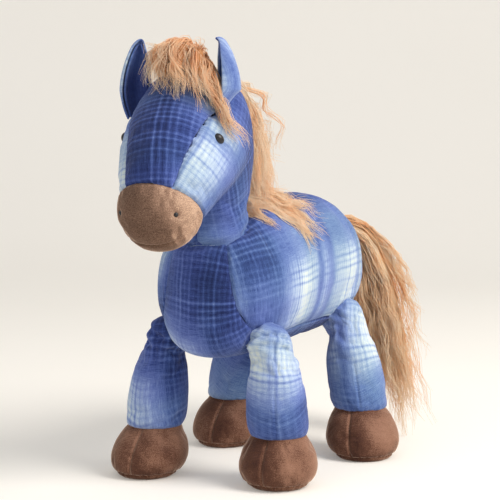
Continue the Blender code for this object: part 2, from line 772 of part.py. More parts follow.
def ear(tree, side, keep_out):
    """Two nested cupped leaves, folding about the line where they meet the head."""
    root, fold, facing, stem, outwards = ear_frame(tree, side)
    for layer, name, colour in ((0, "outer", PLAID_BLUE), (1, "lining", LINING_DARK)):
        form = bmesh.new()
        sheets = []
        for depth in (layer * (EAR_LAYER + GAP), layer * (EAR_LAYER + GAP) + EAR_LAYER):
            sheet = []
            for i in range(EAR_ROWS + 1):
                share = i / EAR_ROWS
                half = EAR_WIDTH / 2 * ear_width_share(share)
                wide = fold.lerp(outwards, min(share / EAR_WIDEST_SHARE, 1)).normalized()
                cup = between(EAR_ROOT_CUP, EAR_CUP, min(share / EAR_WIDEST_SHARE, 1)) / 2
                bend = half / math.sin(cup)
                radius = max(bend - depth, GAP)
                low = EAR_HEIGHT * share - (depth if i == EAR_ROWS else 0)
                row = []
                for j in range(EAR_COLUMNS + 1):
                    angle = cup * (2 * j / EAR_COLUMNS - 1)
                    place = root + stem * low + wide * (radius * math.sin(angle))
                    place += facing * (bend * math.cos(cup) - radius * math.cos(angle))
                    row.append(form.verts.new(place))
                sheet.append(row)
            sheets.append(sheet)
        grid_solid(form, sheets[0], sheets[1])
        bmesh.ops.triangulate(form, faces=form.faces)
        leaf = add_object(f"ear_{side}_{name}", form)
        trim_for_swing(leaf, keep_out, root, fold, EAR_SWING)
        dress(leaf, colour)


def trim_for_swing(obj, form, place, axis, swing):
    """Cuts away what would meet form when obj swings about an axis, and at rest."""
    for angle in (-swing, 0, swing):
        turn = Matrix.Translation(place) @ Matrix.Rotation(angle, 4, axis) @ Matrix.Translation(-place)
        stop = copy_of(form, f"{obj.name}_stop")
        stop.data.transform(turn)
        cut(obj, helper(stop))


def ear_width_share(share):
    """The leaf's width up its height: broad at the root, widest low down, pointed at the tip."""
    if share < EAR_WIDEST_SHARE:
        return between(EAR_ROOT_SHARE, 1, math.sin(math.pi / 2 * share / EAR_WIDEST_SHARE))
    rest = (share - EAR_WIDEST_SHARE) / (1 - EAR_WIDEST_SHARE)
    return max(math.cos(math.pi / 2 * rest) ** EAR_POINT, EAR_TIP_SHARE)


def grid_solid(form, front, back):
    """Two grids of vertices joined at their rims into one closed sheet."""
    rows, columns = len(front) - 1, len(front[0]) - 1
    for i in range(rows):
        for j in range(columns):
            form.faces.new((front[i][j], front[i][j + 1], front[i + 1][j + 1], front[i + 1][j]))
            form.faces.new((back[i][j], back[i + 1][j], back[i + 1][j + 1], back[i][j + 1]))
    rim = [(i, 0) for i in range(rows)] + [(rows, j) for j in range(columns)]
    rim += [(i, columns) for i in range(rows, 0, -1)] + [(0, j) for j in range(columns, 0, -1)]
    for (a, b), (c, d) in zip(rim, rim[1:] + rim[:1]):
        form.faces.new((front[a][b], front[c][d], back[c][d], back[a][b]))


# Neck thread

def neck_thread(name, radius):
    """A ring of thread round the neck seam, lying in the flare of the socket."""
    axis = neck_axis()
    middle = neck_middle()
    lift = NECK_RADIUS * NECK_WAIST_SHARE + THREAD_RADIUS
    reach = NECK_RADIUS * math.sqrt(1 - NECK_WAIST_SHARE**2) + THREAD_RADIUS + NECK_PLAY
    side = axis.cross(Vector((1, 0, 0)))
    form = bmesh.new()
    rings = []
    for i in range(THREAD_SEGMENTS):
        angle = 2 * math.pi * i / THREAD_SEGMENTS
        out = Vector((1, 0, 0)) * math.cos(angle) + side * math.sin(angle)
        centre = middle + axis * lift + out * reach
        ring = oval(centre, out, axis, radius, radius, radius, THREAD_SIDES)
        rings.append([form.verts.new(p) for p in ring])
    ring_faces(form, rings + rings[:1])
    return add_object(name, form)


# Legs and hooves

def leg_line(end, side):
    """The hip's middle and the middle of the sole."""
    hip = hip_place(end, side)
    outwards, backwards = FOOT_PLACES[end, side]
    sign = 1 if side == "left" else -1
    return hip, Vector((hip.x + sign * outwards, hip.y + backwards, 0))


def leg_rings(end, side, inset, stop_z, sides):
    """Level rings down a leg from its dome to stop_z, each drawn in by inset."""
    hip, sole = leg_line(end, side)
    radius = HIP_RADIUS - inset
    levels = []
    for i in range(1, DOME_RINGS + 1):
        angle = math.pi / 2 * i / (DOME_RINGS + 1)
        levels.append((hip.z + radius * math.cos(angle), radius * math.sin(angle)))
    for share, swell in LEG_STATION_SHARES:
        level = (between(hip.z, CUFF_Z, share), between(HIP_RADIUS, CALF_RADIUS, swell) - inset)
        if level[0] < stop_z:
            above = levels[-1]
            part = (above[0] - stop_z) / (above[0] - level[0])
            levels.append((stop_z, between(above[1], level[1], part)))
            break
        levels.append(level)
    made = []
    for z, r in levels:
        slide = min(max((hip.z - z) / hip.z, 0), 1)
        centre = Vector((between(hip.x, sole.x, slide), between(hip.y, sole.y, slide), z))
        made.append(oval(centre, Vector((1, 0, 0)), Vector((0, 1, 0)), r, r, r, sides))
    return made, Vector((hip.x, hip.y, hip.z + radius))


def leg_sleeve(end, side):
    """The plaid sleeve: a domed tube, open at its cuff."""
    outer, outer_top = leg_rings(end, side, 0, CUFF_Z, LEG_SIDES)
    inner, inner_top = leg_rings(end, side, SKIN, CUFF_Z, LEG_SIDES)
    form = bmesh.new()
    skins = []
    for rings, top in ((outer, outer_top), (inner, inner_top)):
        made = [[form.verts.new(p) for p in ring] for ring in rings]
        ring_faces(form, made)
        tip = form.verts.new(top)
        for i, vert in enumerate(made[0]):
            form.faces.new((vert, made[0][(i + 1) % LEG_SIDES], tip))
        skins.append(made)
    ring_faces(form, [skins[0][-1], skins[1][-1]])
    dress(add_object(f"leg_sleeve_{end}_{side}", form), PLAID_BLUE)


def leg_fill(end, side):
    rings, top = leg_rings(end, side, SKIN + GAP, CUFF_Z + HOOF_TUCK + GAP, LEG_SIDES)
    dress(loft(f"leg_fill_{end}_{side}", rings, top), FILL_WHITE)


def hoof_rings(end, side, inset):
    """(height, radius, middle) of the hoof's rings from its sole seam to the top that the cuff covers."""
    hip, sole = leg_line(end, side)
    tucked = between(HIP_RADIUS, CALF_RADIUS, LEG_STATION_SHARES[-1][1]) - SKIN - ANKLE_PLAY
    low = SOLE_THICKNESS + GAP
    stations = []
    for share, swell in HOOF_STATION_SHARES:
        narrow = SOLE_RADIUS if share < 0.5 else tucked
        stations.append((between(low, CUFF_Z, share), between(narrow, HOOF_RADIUS, swell), 1 - share))
    stations.append((CUFF_Z, tucked, 0))
    stations.append((CUFF_Z + HOOF_TUCK, tucked, 0))
    made = []
    for z, r, toe in stations:
        slide = (hip.z - z) / hip.z
        x = between(hip.x, sole.x, slide)
        y = between(hip.y, sole.y, slide) - HOOF_TOE * toe
        made.append((z, r - inset, Vector((x, y, z))))
    return made


def hoof_half(end, side, part):
    """Half of the velour round a hoof, from the toe seam to the heel seam."""
    sign = (1 if side == "left" else -1) * (1 if part == "outer" else -1)
    form = bmesh.new()
    sheets = []
    for inset in (0, SKIN):
        sheet = []
        for z, r, middle in hoof_rings(end, side, inset):
            seam = GAP / r
            row = []
            for i in range(LEG_SIDES // 2 + 1):
                angle = between(-math.pi / 2 + seam, math.pi / 2 - seam, i / (LEG_SIDES // 2))
                out = Vector((sign * r * math.cos(angle), r * math.sin(angle), 0))
                row.append(form.verts.new(middle + out))
            sheet.append(row)
        sheets.append(sheet)
    grid_solid(form, sheets[0], sheets[1])
    dress(add_object(f"hoof_{part}_{end}_{side}", form), SUEDE_BROWN)


def hoof_fill(end, side):
    rings = [
        oval(middle, Vector((1, 0, 0)), Vector((0, 1, 0)), r, r, r, LEG_SIDES)
        for z, r, middle in hoof_rings(end, side, SKIN + GAP)
    ]
    dress(loft(f"hoof_fill_{end}_{side}", rings), FILL_WHITE)


def hoof_sole(end, side):
    hip, sole = leg_line(end, side)
    z, rim, middle = hoof_rings(end, side, 0)[0]
    levels = ((0, SOLE_RADIUS - SKIN), (SOLE_EDGE_RISE, SOLE_RADIUS), (SOLE_THICKNESS, rim))
    rings = [
        oval(Vector((middle.x, middle.y, height)), Vector((1, 0, 0)), Vector((0, 1, 0)), r, r, r, LEG_SIDES)
        for height, r in levels
    ]
    dress(loft(f"hoof_sole_{end}_{side}", rings), SUEDE_BROWN)


def legs():
    for end, side in FOOT_PLACES:
        leg_sleeve(end, side)
        leg_fill(end, side)
        hoof_fill(end, side)
        hoof_sole(end, side)
        for part in ("outer", "inner"):
            hoof_half(end, side, part)


# Pile

def smooth_line(points, count):
    """Points spread along a smooth curve through a few."""
    made = []
    spans = len(points) - 1
    for i in range(count):
        t = spans * i / (count - 1)
        k = min(int(t), spans - 1)
        u = t - k
        a, b = points[k], points[k + 1]
        before = points[k - 1] if k else a * 2 - b
        after = points[k + 2] if k + 2 <= spans else b * 2 - a
        slope = b - before
        bend = 2 * before - 5 * a + 4 * b - after
        twist = 3 * a - before - 3 * b + after
        made.append((2 * a + slope * u + bend * u**2 + twist * u**3) / 2)
    return made


def lock(name, points, width, thickness, across):
    """A tapered lock of pile along a smooth line, flat side across."""
    line = smooth_line(points, LOCK_RINGS)
    rings = []
    for i, place in enumerate(line):
        ahead = (line[min(i + 1, len(line) - 1)] - line[max(i - 1, 0)]).normalized()
        wide = (across - ahead * across.dot(ahead)).normalized()
        thick = ahead.cross(wide)
        share = i / (len(line) - 1)
        fullness = math.sin(math.pi * (LOCK_START_SHARE + LOCK_RUN_SHARE * share)) ** LOCK_FULLNESS
        taper = between(LOCK_END_SHARE, 1, fullness) * (1 - max(share - 0.5, 0) * LOCK_THINNING)
        half = width / 2 * taper
        deep = thickness / 2 * taper
        rings.append(oval(place, wide, thick, half, deep, deep, LOCK_SIDES))
    return loft(name, rings)


def bundle(name, locks, keep_out):
    """Locks made one, trimmed where they meet what carries them."""
    first = locks[0]
    for other in locks[1:]:
        cut(first, helper(other), "UNION")
    for form in keep_out:
        cut(first, form)
    first.name = name
    return dress(first, PILE_TAN)


def mane_locks(name, lines, flat):
    """Locks of the mane along lines that are given as shares of the head's sizes."""
    forwards, across, up, along, rise = head_frame()
    made = []
    for number, line in enumerate(lines):
        points = []
        for ahead, sideways, high in line:
            step = forwards * (HEAD_DEPTH * ahead) + across * (HEAD_WIDTH / 2 * sideways)
            points.append(neck_middle() + step + up * (POLL_RISE * high))
        made.append(lock(f"{name}_{number}", points, MANE_WIDTH, MANE_THICKNESS, flat))
    return made


def mane_pieces(keep_out):
    """The mane: locks from the crest that fall back over the left of the neck and onto the shoulder."""
    forwards, across, up, along, rise = head_frame()
    flat = (across - forwards * MANE_FLAT_SHARE).normalized()
    upper = mane_locks("upper", MANE_UPPER_SHARES, up)
    lower = mane_locks("lower", MANE_LOWER_SHARES, flat)
    mane_top = bundle("mane_upper", upper, keep_out)
    bundle("mane_lower", lower, keep_out + [mane_top])


def forelock(keep_out):
    """The tuft between the ears, with a long lock swept down to the left eye."""
    forwards, across, up, along, rise = head_frame()
    root = head_point(FORELOCK_ALONG_SHARE, FORELOCK_RISE_SHARE)
    locks = []
    for name, line, size in (("tuft", TUFT_SHARES, 1), ("sweep", SWEEP_SHARES, SWEEP_SHARE)):
        points = []
        for ahead, sideways, high in line:
            step = forwards * (HEAD_DEPTH * ahead) + across * (HEAD_WIDTH / 2 * sideways)
            points.append(root + step + up * (HEAD_DEPTH * high))
        locks.append(lock(name, points, FORELOCK_WIDTH * size, FORELOCK_THICKNESS * size, across))
    bundle("forelock", locks, keep_out)


def dock_place():
    """The middle of the tail's root on the rump."""
    y = CHEST_Y + TORSO_LENGTH * DOCK_ALONG_SHARE
    return Vector((0, y, BELLY_Z + TORSO_HEIGHT * DOCK_RISE_SHARE))


def tail(keep_out):
    """The tail: locks from the dock that fall behind the left hind leg, nearly to the floor."""
    root = dock_place()
    flat = Vector((1, TAIL_FLAT_SHARE, 0)).normalized()
    locks = []
    for number, line in enumerate(TAIL_SHARES):
        points = []
        for sideways, backwards, down in line:
            points.append(root + Vector((TORSO_HALF * sideways, TORSO_HALF * backwards, -root.z * down)))
        locks.append(lock(f"tail_{number}", points, TAIL_WIDTH, TAIL_THICKNESS, flat))
    hair = bundle("tail", locks, [])
    for form in keep_out:
        trim_for_swing(hair, form, root, Vector((0, 1, 0)), TAIL_SWING)
    dress(hair, PILE_TAN)


def settle():
    """Stands the horse with the middle of its own box over the origin."""
    bpy.context.view_layer.update()
    shown = [o for o in bpy.context.scene.objects if not o.hide_render and o.type == "MESH"]
    corners = [o.matrix_world @ Vector(c) for o in shown for c in o.bound_box]
    low = Vector(min(c[i] for c in corners) for i in range(3))
    high = Vector(max(c[i] for c in corners) for i in range(3))
    holder = bpy.data.objects.new("horse", None)
    bpy.context.scene.collection.objects.link(holder)
    for obj in bpy.context.scene.objects:
        if obj is not holder and obj.parent is None:
            obj.parent = holder
    holder.location = (-(low.x + high.x) / 2, -(low.y + high.y) / 2, -low.z)


def main():
    clear_scene()
    torso_pieces()
    head_clear = head_pieces()
    dress(neck_thread("neck_thread", THREAD_RADIUS), THREAD_BLUE)
    thread_clear = helper(neck_thread("thread_clear", THREAD_RADIUS + PILE_STANDOFF))
    legs()
    torso_clear = helper(torso_body("torso_clear", -PILE_STANDOFF))
    mane_pieces([head_clear, torso_clear, thread_clear])
    forelock([head_clear])
    tail([torso_clear])
    settle()


main()
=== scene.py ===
"""A standing plush horse of brushed plaid flannel, with a velour muzzle and hooves, black button
eyes, and a mane, forelock and tail of long camel pile."""

import math

import bmesh
import bpy
import numpy as np
from mathutils import Matrix, Vector, noise
from mathutils.bvhtree import BVHTree
from mathutils.kdtree import KDTree


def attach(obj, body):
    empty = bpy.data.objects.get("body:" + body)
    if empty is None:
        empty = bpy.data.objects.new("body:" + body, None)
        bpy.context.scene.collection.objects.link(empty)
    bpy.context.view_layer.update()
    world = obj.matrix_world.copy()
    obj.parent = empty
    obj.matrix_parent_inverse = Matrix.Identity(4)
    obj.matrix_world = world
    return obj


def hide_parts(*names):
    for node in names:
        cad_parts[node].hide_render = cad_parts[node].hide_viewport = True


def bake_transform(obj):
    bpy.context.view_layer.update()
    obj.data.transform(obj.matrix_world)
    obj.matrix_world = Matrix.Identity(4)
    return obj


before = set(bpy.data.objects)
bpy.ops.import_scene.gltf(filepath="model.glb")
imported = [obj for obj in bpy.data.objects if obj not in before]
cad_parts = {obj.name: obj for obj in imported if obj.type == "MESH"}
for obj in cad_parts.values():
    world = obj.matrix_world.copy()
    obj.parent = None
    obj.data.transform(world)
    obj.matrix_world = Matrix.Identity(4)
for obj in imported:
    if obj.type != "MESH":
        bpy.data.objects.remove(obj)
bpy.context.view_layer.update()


# --- Camera, floor and light -----------------------------------------------------------------
# The horse stands on a pale paper sweep that curves up behind it. A broad soft lamp from the right lights the
# warm side of the muzzle, which the velour also paints paler, and a weaker one opens the shade.

# Where the middle of the horse's body stands in the imported model.
STAND = Vector((-0.0073, -0.0086, 0))

scene = bpy.context.scene
scene.view_settings.view_transform = "Standard"


def look_from(azimuth, elevation):
    """The direction from the horse towards a place, 0 degrees being straight ahead of it."""
    around, up = math.radians(azimuth), math.radians(elevation)
    return Vector((math.sin(around) * math.cos(up), -math.cos(around) * math.cos(up), math.sin(up)))


CAMERA_AIM = STAND + Vector((0, 0, 0.2))
CAMERA_AZIMUTH = 27
CAMERA_AWAY = look_from(CAMERA_AZIMUTH, 6)
camera_data = bpy.data.cameras.new("camera")
camera_data.sensor_width = 36
camera_data.lens = 115.2
camera_data.shift_x = 0.006
camera_data.shift_y = 0.014
camera = bpy.data.objects.new("camera", camera_data)
camera.location = CAMERA_AIM + CAMERA_AWAY * 1.5
camera.rotation_euler = (-CAMERA_AWAY).to_track_quat("-Z", "Y").to_euler()
scene.collection.objects.link(camera)
scene.camera = camera


def dye(code):
    """A colour written as six hexadecimal digits, as the shader wants it."""
    shares = [int(code[i : i + 2], 16) / 255 for i in (0, 2, 4)]
    linear = [c / 12.92 if c <= 0.04045 else ((c + 0.055) / 1.055) ** 2.4 for c in shares]
    return (*linear, 1.0)


def new_material(name):
    """An empty node material and the two tools that fill it: one adds a node with its settings and the
    values of its sockets, one joins two sockets."""
    material = bpy.data.materials.new(name)
    material.use_nodes = True
    tree = material.node_tree
    tree.nodes.clear()

    def node(kind, values=None, **settings):
        made = tree.nodes.new(kind)
        for key, value in settings.items():
            setattr(made, key, value)
        for socket, value in (values or {}).items():
            made.inputs[socket].default_value = value
        return made

    return material, node, tree.links.new


SWEEP_REACH = 3.0
SWEEP_BEND = 1.1
SWEEP_BACK = 1.5


def make_sweep():
    """A sheet that lies flat under the horse and curves up into a wall behind it, as the camera sees it."""
    form = bmesh.new()
    bmesh.ops.create_grid(form, x_segments=1, y_segments=60, size=1)
    for vert in form.verts:
        along = (vert.co.y + 1) / 2
        length = along * (SWEEP_REACH + SWEEP_BACK + SWEEP_BEND * math.pi / 2 + SWEEP_REACH) - SWEEP_REACH
        turn = min(max((length - SWEEP_BACK) / SWEEP_BEND, 0), math.pi / 2)
        flat = min(length, SWEEP_BACK) + SWEEP_BEND * math.sin(turn)
        rise = SWEEP_BEND * (1 - math.cos(turn)) + max(length - SWEEP_BACK - SWEEP_BEND * math.pi / 2, 0)
        vert.co = Vector((vert.co.x * SWEEP_REACH * 2, flat, rise))
    heading = Matrix.Rotation(math.radians(CAMERA_AZIMUTH), 4, "Z")
    bmesh.ops.transform(form, matrix=heading, verts=form.verts)
    mesh = bpy.data.meshes.new("paper_sweep")
    form.to_mesh(mesh)
    form.free()
    mesh.shade_smooth()
    sweep = bpy.data.objects.new("paper_sweep", mesh)
    scene.collection.objects.link(sweep)
    return sweep


sweep = make_sweep()
paper, node, join = new_material("sweep_paper")
surface = node("ShaderNodeBsdfPrincipled", {"Roughness": 0.9, "Specular IOR Level": 0.1})
grain = node("ShaderNodeTexNoise", {"Scale": 1.6})
tint = node("ShaderNodeMix", {6: dye("ebe7df"), 7: dye("f0ece5")}, data_type="RGBA")
place = node("ShaderNodeTexCoord")
seen = node("ShaderNodeLightPath")
glow = node("ShaderNodeMath", {1: 0.18}, operation="MULTIPLY")
surface.inputs["Emission Color"].default_value = dye("fff8ee")
ending = node("ShaderNodeOutputMaterial")
join(seen.outputs["Is Camera Ray"], glow.inputs[0])
join(glow.outputs[0], surface.inputs["Emission Strength"])
join(place.outputs["Object"], grain.inputs["Vector"])
join(grain.outputs["Fac"], tint.inputs[0])
join(tint.outputs[2], surface.inputs["Base Color"])
join(surface.outputs[0], ending.inputs[0])
sweep.data.materials.append(paper)

world = bpy.data.worlds.new("studio")
world.use_nodes = True
world.node_tree.nodes["Background"].inputs[0].default_value = (0.96, 0.975, 1.0, 1)
world.node_tree.nodes["Background"].inputs[1].default_value = 0.56
scene.world = world


def soft_lamp(name, azimuth, elevation, away, size, power, colour):
    """A round lamp at that distance, turned to the horse."""
    data = bpy.data.lights.new(name, "AREA")
    data.shape = "DISK"
    data.size = size
    data.energy = power
    data.color = colour
    lamp = bpy.data.objects.new(name, data)
    way = look_from(azimuth, elevation)
    lamp.location = CAMERA_AIM + way * away
    lamp.rotation_euler = (-way).to_track_quat("-Z", "Y").to_euler()
    scene.collection.objects.link(lamp)


soft_lamp("window_lamp", 86, 40, 1.9, 1.1, 35, (1.0, 0.965, 0.92))
soft_lamp("front_fill", -20, 35, 2.4, 1.8, 6, (0.97, 0.985, 1.0))


# --- Torso: two plaid sides and the chest and belly gusset ------------------------------------
# A barrel of brushed flannel packed with fibrefill. The sides meet along the back, and a gusset
# runs up the chest and under the belly. Each panel is sewn face to face and turned out.

TORSO_LENGTH = 0.278
TORSO_WIDTH = 0.124
TORSO_HEIGHT = 0.140
BELLY_Z = 0.117
CHEST_Y = -0.104
TORSO_CORNERS = 2.35
# Along the length from the chest, then half width, underside and top as shares of their sizes.
TORSO_STATIONS = (
    (0.0, 0.0, 0.42, 0.42),
    (0.010, 0.35, 0.19, 0.63),
    (0.036, 0.56, 0.07, 0.77),
    (0.082, 0.75, 0.015, 0.845),
    (0.150, 0.90, 0.0, 0.89),
    (0.260, 1.0, 0.0, 0.955),
    (0.420, 1.0, 0.015, 1.0),
    (0.620, 1.0, 0.02, 1.0),
    (0.770, 0.99, 0.03, 0.965),
    (0.870, 0.91, 0.065, 0.89),
    (0.940, 0.74, 0.125, 0.77),
    (0.985, 0.44, 0.23, 0.62),
    (1.0, 0.0, 0.42, 0.42),
)
# Half width of the gusset up the body, and the height at which it ends.
GUSSET_LEVELS = (0.080, 0.131, 0.1646, 0.2094, 0.2374)
GUSSET_HALVES = (0.0471, 0.0484, 0.0375, 0.0285, 0.0211)
GUSSET_TOP = GUSSET_LEVELS[-1]
# While the gusset is cut its edges are drawn straight, this far from the middle.
STRAIGHT_HALF = 0.05

CLOTH_GRID = 0.004
SEAM_DEPTH = 0.0018
SEAM_REACH = 0.0017


def curve_through(knots, values, wanted):
    """Values between the knots of a table, on one smooth curve."""
    knots = np.asarray(knots, float)
    values = np.asarray(values, float)
    wanted = np.asarray(wanted, float)
    slopes = np.gradient(values, knots)
    at = np.clip(np.searchsorted(knots, wanted) - 1, 0, len(knots) - 2)
    span = knots[at + 1] - knots[at]
    t = np.clip((wanted - knots[at]) / span, 0, 1)
    return (
        (2 * t**3 - 3 * t**2 + 1) * values[at]
        + (t**3 - 2 * t**2 + t) * span * slopes[at]
        + (3 * t**2 - 2 * t**3) * values[at + 1]
        + (t**3 - t**2) * span * slopes[at + 1]
    )


def points_of(mesh):
    """The mesh's points as rows of numbers."""
    flat = np.empty(len(mesh.vertices) * 3, np.float32)
    mesh.vertices.foreach_get("co", flat)
    return flat.reshape(-1, 3).astype(float)


def normals_of(mesh):
    flat = np.empty(len(mesh.vertices) * 3, np.float32)
    mesh.vertex_normals.foreach_get("vector", flat)
    return flat.reshape(-1, 3).astype(float)


def move_points(mesh, points):
    mesh.vertices.foreach_set("co", np.ascontiguousarray(points, np.float32).ravel())
    mesh.update()


def form_from(*objects):
    """One bmesh from the meshes of the objects."""
    form = bmesh.new()
    for obj in objects:
        form.from_mesh(obj.data)
    return form


def put_back(form, obj):
    form.to_mesh(obj.data)
    form.free()


def close_up(form):
    """Joins the points that a round form has twice and turns its faces outwards."""
    bmesh.ops.remove_doubles(form, verts=form.verts, dist=1e-6)
    bmesh.ops.recalc_face_normals(form, faces=form.faces)
    return form


def object_of(name, form):
    """A new object in the scene from a bmesh, smooth shaded."""
    mesh = bpy.data.meshes.new(name)
    form.to_mesh(mesh)
    form.free()
    mesh.shade_smooth()
    obj = bpy.data.objects.new(name, mesh)
    scene.collection.objects.link(obj)
    return obj


def wear(obj, material):
    """Gives a piece its one material."""
    obj.data.materials.clear()
    obj.data.materials.append(material)


def settle_modifiers(obj):
    """Turns what the modifiers show into the mesh itself."""
    shown = obj.evaluated_get(bpy.context.evaluated_depsgraph_get())
    mesh = bpy.data.meshes.new_from_object(shown)
    old = obj.data
    obj.modifiers.clear()
    obj.data = mesh
    bpy.data.meshes.remove(old)
    return obj


def round_form(name, stations, corners, place):
    """A closed sausage through a table of rings. place turns (along, half, low, high, cos, sin) into a point."""
    form = bmesh.new()
    bmesh.ops.create_uvsphere(form, u_segments=72, v_segments=60, radius=1)
    table = np.array(stations)
    knots = np.arccos(np.clip(1 - 2 * table[:, 0], -1, 1))
    polar = np.arccos(np.clip([v.co.z for v in form.verts], -1, 1))
    around = [math.atan2(v.co.y, v.co.x) for v in form.verts]
    half, low, high = (curve_through(knots, table[:, k], polar) for k in (1, 2, 3))
    power = 2 / corners
    for i, vert in enumerate(form.verts):
        wide = math.copysign(abs(math.cos(around[i])) ** power, math.cos(around[i]))
        tall = math.copysign(abs(math.sin(around[i])) ** power, math.sin(around[i]))
        vert.co = place((1 - math.cos(polar[i])) / 2, max(half[i], 0), low[i], high[i], wide, tall)
    return object_of(name, close_up(form))


def even_cloth(obj, size, passes=2):
    """The same form in even small squares, as wide as size, so that the cloth bends alike everywhere."""
    remesh = obj.modifiers.new("even", "REMESH")
    remesh.mode = "VOXEL"
    remesh.voxel_size = size
    settle_modifiers(obj)
    form = form_from(obj)
    for _ in range(passes):
        bmesh.ops.smooth_vert(form, verts=form.verts, factor=0.5, use_axis_x=True, use_axis_y=True, use_axis_z=True)
    put_back(form, obj)
    obj.data.shade_smooth()
    return obj


def stuff(obj, held, swell, cap, pressure=4.0, frames=20):
    """Packs the form: cloth cut larger than the form by the share swell is blown up from inside while the
    points in held, from 0 to 1, stay on their seams. No point moves further than cap."""
    rest = points_of(obj.data)
    group = obj.vertex_groups.new(name="held")
    for i, weight in enumerate(held):
        if weight > 0.01:
            group.add([i], float(min(weight, 1)), "REPLACE")
    cloth = obj.modifiers.new("stuffing", "CLOTH")
    rules = cloth.settings
    rules.quality = 6
    rules.mass = 0.15
    rules.tension_stiffness = 20
    rules.compression_stiffness = 12
    rules.shear_stiffness = 8
    rules.bending_stiffness = 0.25
    rules.air_damping = 3
    rules.use_pressure = True
    rules.uniform_pressure_force = pressure
    rules.shrink_min = -swell
    rules.effector_weights.gravity = 0
    rules.vertex_group_mass = "held"
    cloth.collision_settings.use_collision = False
    cloth.point_cache.frame_start = 1
    cloth.point_cache.frame_end = frames
    for step in range(1, frames + 1):
        scene.frame_set(step)
    shown = obj.evaluated_get(bpy.context.evaluated_depsgraph_get())
    moved = points_of(shown.data) - rest
    obj.modifiers.clear()
    obj.vertex_groups.clear()
    scene.frame_set(1)
    far = np.linalg.norm(moved, axis=1)
    limit = cap * np.tanh(far / cap) / np.maximum(far, 1e-9)
    move_points(obj.data, rest + moved * limit[:, None])
    return obj


def cut_line(form, chosen, co, normal):
    """Cuts the chosen faces along a plane and leaves both sides. Points close to it are moved onto it first."""
    faces = [f for f in form.faces if chosen(f.calc_center_median())]
    verts = {v for f in faces for v in f.verts}
    normal = Vector(normal).normalized()
    for vert in verts:
        off = (vert.co - Vector(co)).dot(normal)
        if abs(off) < CLOTH_GRID * 0.3:
            vert.co -= normal * off
    edges = {e for f in faces for e in f.edges}
    bmesh.ops.bisect_plane(form, geom=[*verts, *edges, *faces], dist=1e-5, plane_co=co, plane_no=normal)


def part_panels(form, owner):
    """Marks each face with its panel's number and lets the cloth go along every seam."""
    for face in form.faces:
        face.material_index = owner(face.calc_center_median())
    seams = [
        e for e in form.edges
        if len(e.link_faces) == 2 and e.link_faces[0].material_index != e.link_faces[1].material_index
    ]
    bmesh.ops.split_edges(form, edges=seams)
    return form


def flatten_cloth(obj):
    """Gives each panel its own flat pattern, as the cloth was cut."""
    for other in bpy.context.selected_objects:
        other.select_set(False)
    bpy.context.view_layer.objects.active = obj
    obj.select_set(True)
    bpy.ops.object.mode_set(mode="EDIT")
    bpy.ops.mesh.select_all(action="SELECT")
    bpy.ops.uv.unwrap(method="MINIMUM_STRETCH", margin=0.001)
    bpy.ops.object.mode_set(mode="OBJECT")
    obj.select_set(False)


def flat_pattern(mesh):
    """Where each corner of each face lies on the flat cloth."""
    flat = np.empty(len(mesh.loops) * 2, np.float32)
    mesh.uv_layers[0].data.foreach_get("uv", flat)
    return flat.reshape(-1, 2).astype(float)


def set_pattern(mesh, flat):
    mesh.uv_layers[0].data.foreach_set("uv", flat.astype(np.float32).ravel())


def turned_flat(flat, angle):
    cosine, sine = math.cos(angle), math.sin(angle)
    return flat @ np.array([[cosine, sine], [-sine, cosine]])


def smaller_squares(obj, levels):
    finer = obj.modifiers.new("finer", "SUBSURF")
    finer.levels = levels
    finer.render_levels = levels
    finer.boundary_smooth = "PRESERVE_CORNERS"
    return settle_modifiers(obj)


def take_panels(obj, names):
    """One object for each panel of a form, in the order of the names."""
    made = []
    for number, name in enumerate(names):
        form = form_from(obj)
        bmesh.ops.delete(form, geom=[f for f in form.faces if f.material_index != number], context="FACES")
        for face in form.faces:
            face.material_index = 0
        made.append(object_of(name, form))
    bpy.data.objects.remove(obj)
    return made


def lay_cloth(panel, middle, towards, cloth_at, turn=0.0):
    """Lays the pattern on the cloth: the point of the panel nearest to middle lies at cloth_at, in metres of
    cloth, and the way to towards runs up the cloth, or turned from it by so many degrees."""
    mesh = panel.data
    flat = flat_pattern(mesh)
    owner = np.empty(len(mesh.loops), np.int32)
    mesh.loops.foreach_get("vertex_index", owner)
    points = points_of(mesh)[owner]
    start = np.argmin(((points - np.array(middle)) ** 2).sum(1))
    ending = np.argmin(((points - np.array(towards)) ** 2).sum(1))
    begins = np.empty(len(mesh.polygons), np.int32)
    mesh.polygons.foreach_get("loop_start", begins)
    first, second = flat[begins], flat[begins + 1]
    spans = np.linalg.norm(points[begins + 1] - points[begins], axis=1)
    scale = spans.sum() / max(np.linalg.norm(second - first, axis=1).sum(), 1e-9)
    flat = (flat - flat[start]) * scale
    way = flat[ending]
    angle = math.radians(90 + turn) - math.atan2(way[1], way[0])
    set_pattern(mesh, turned_flat(flat, angle) + np.array(cloth_at))


def turn_cloth(panel, cloth_at, turn):
    """Turns a laid pattern round its starting point by so many degrees and lays that point at cloth_at."""
    set_pattern(panel.data, turned_flat(flat_pattern(panel.data), math.radians(turn)) + np.array(cloth_at))


def smooth_normals(mesh, passes=4):
    """The mesh's normals, each evened out with its neighbours'."""
    normals = normals_of(mesh)
    ends = np.empty(len(mesh.edges) * 2, np.int32)
    mesh.edges.foreach_get("vertices", ends)
    first, second = ends[::2], ends[1::2]
    for _ in range(passes):
        total = normals.copy()
        np.add.at(total, first, normals[second])
        np.add.at(total, second, normals[first])
        normals = total / np.maximum(np.linalg.norm(total, axis=1), 1e-9)[:, None]
    return normals


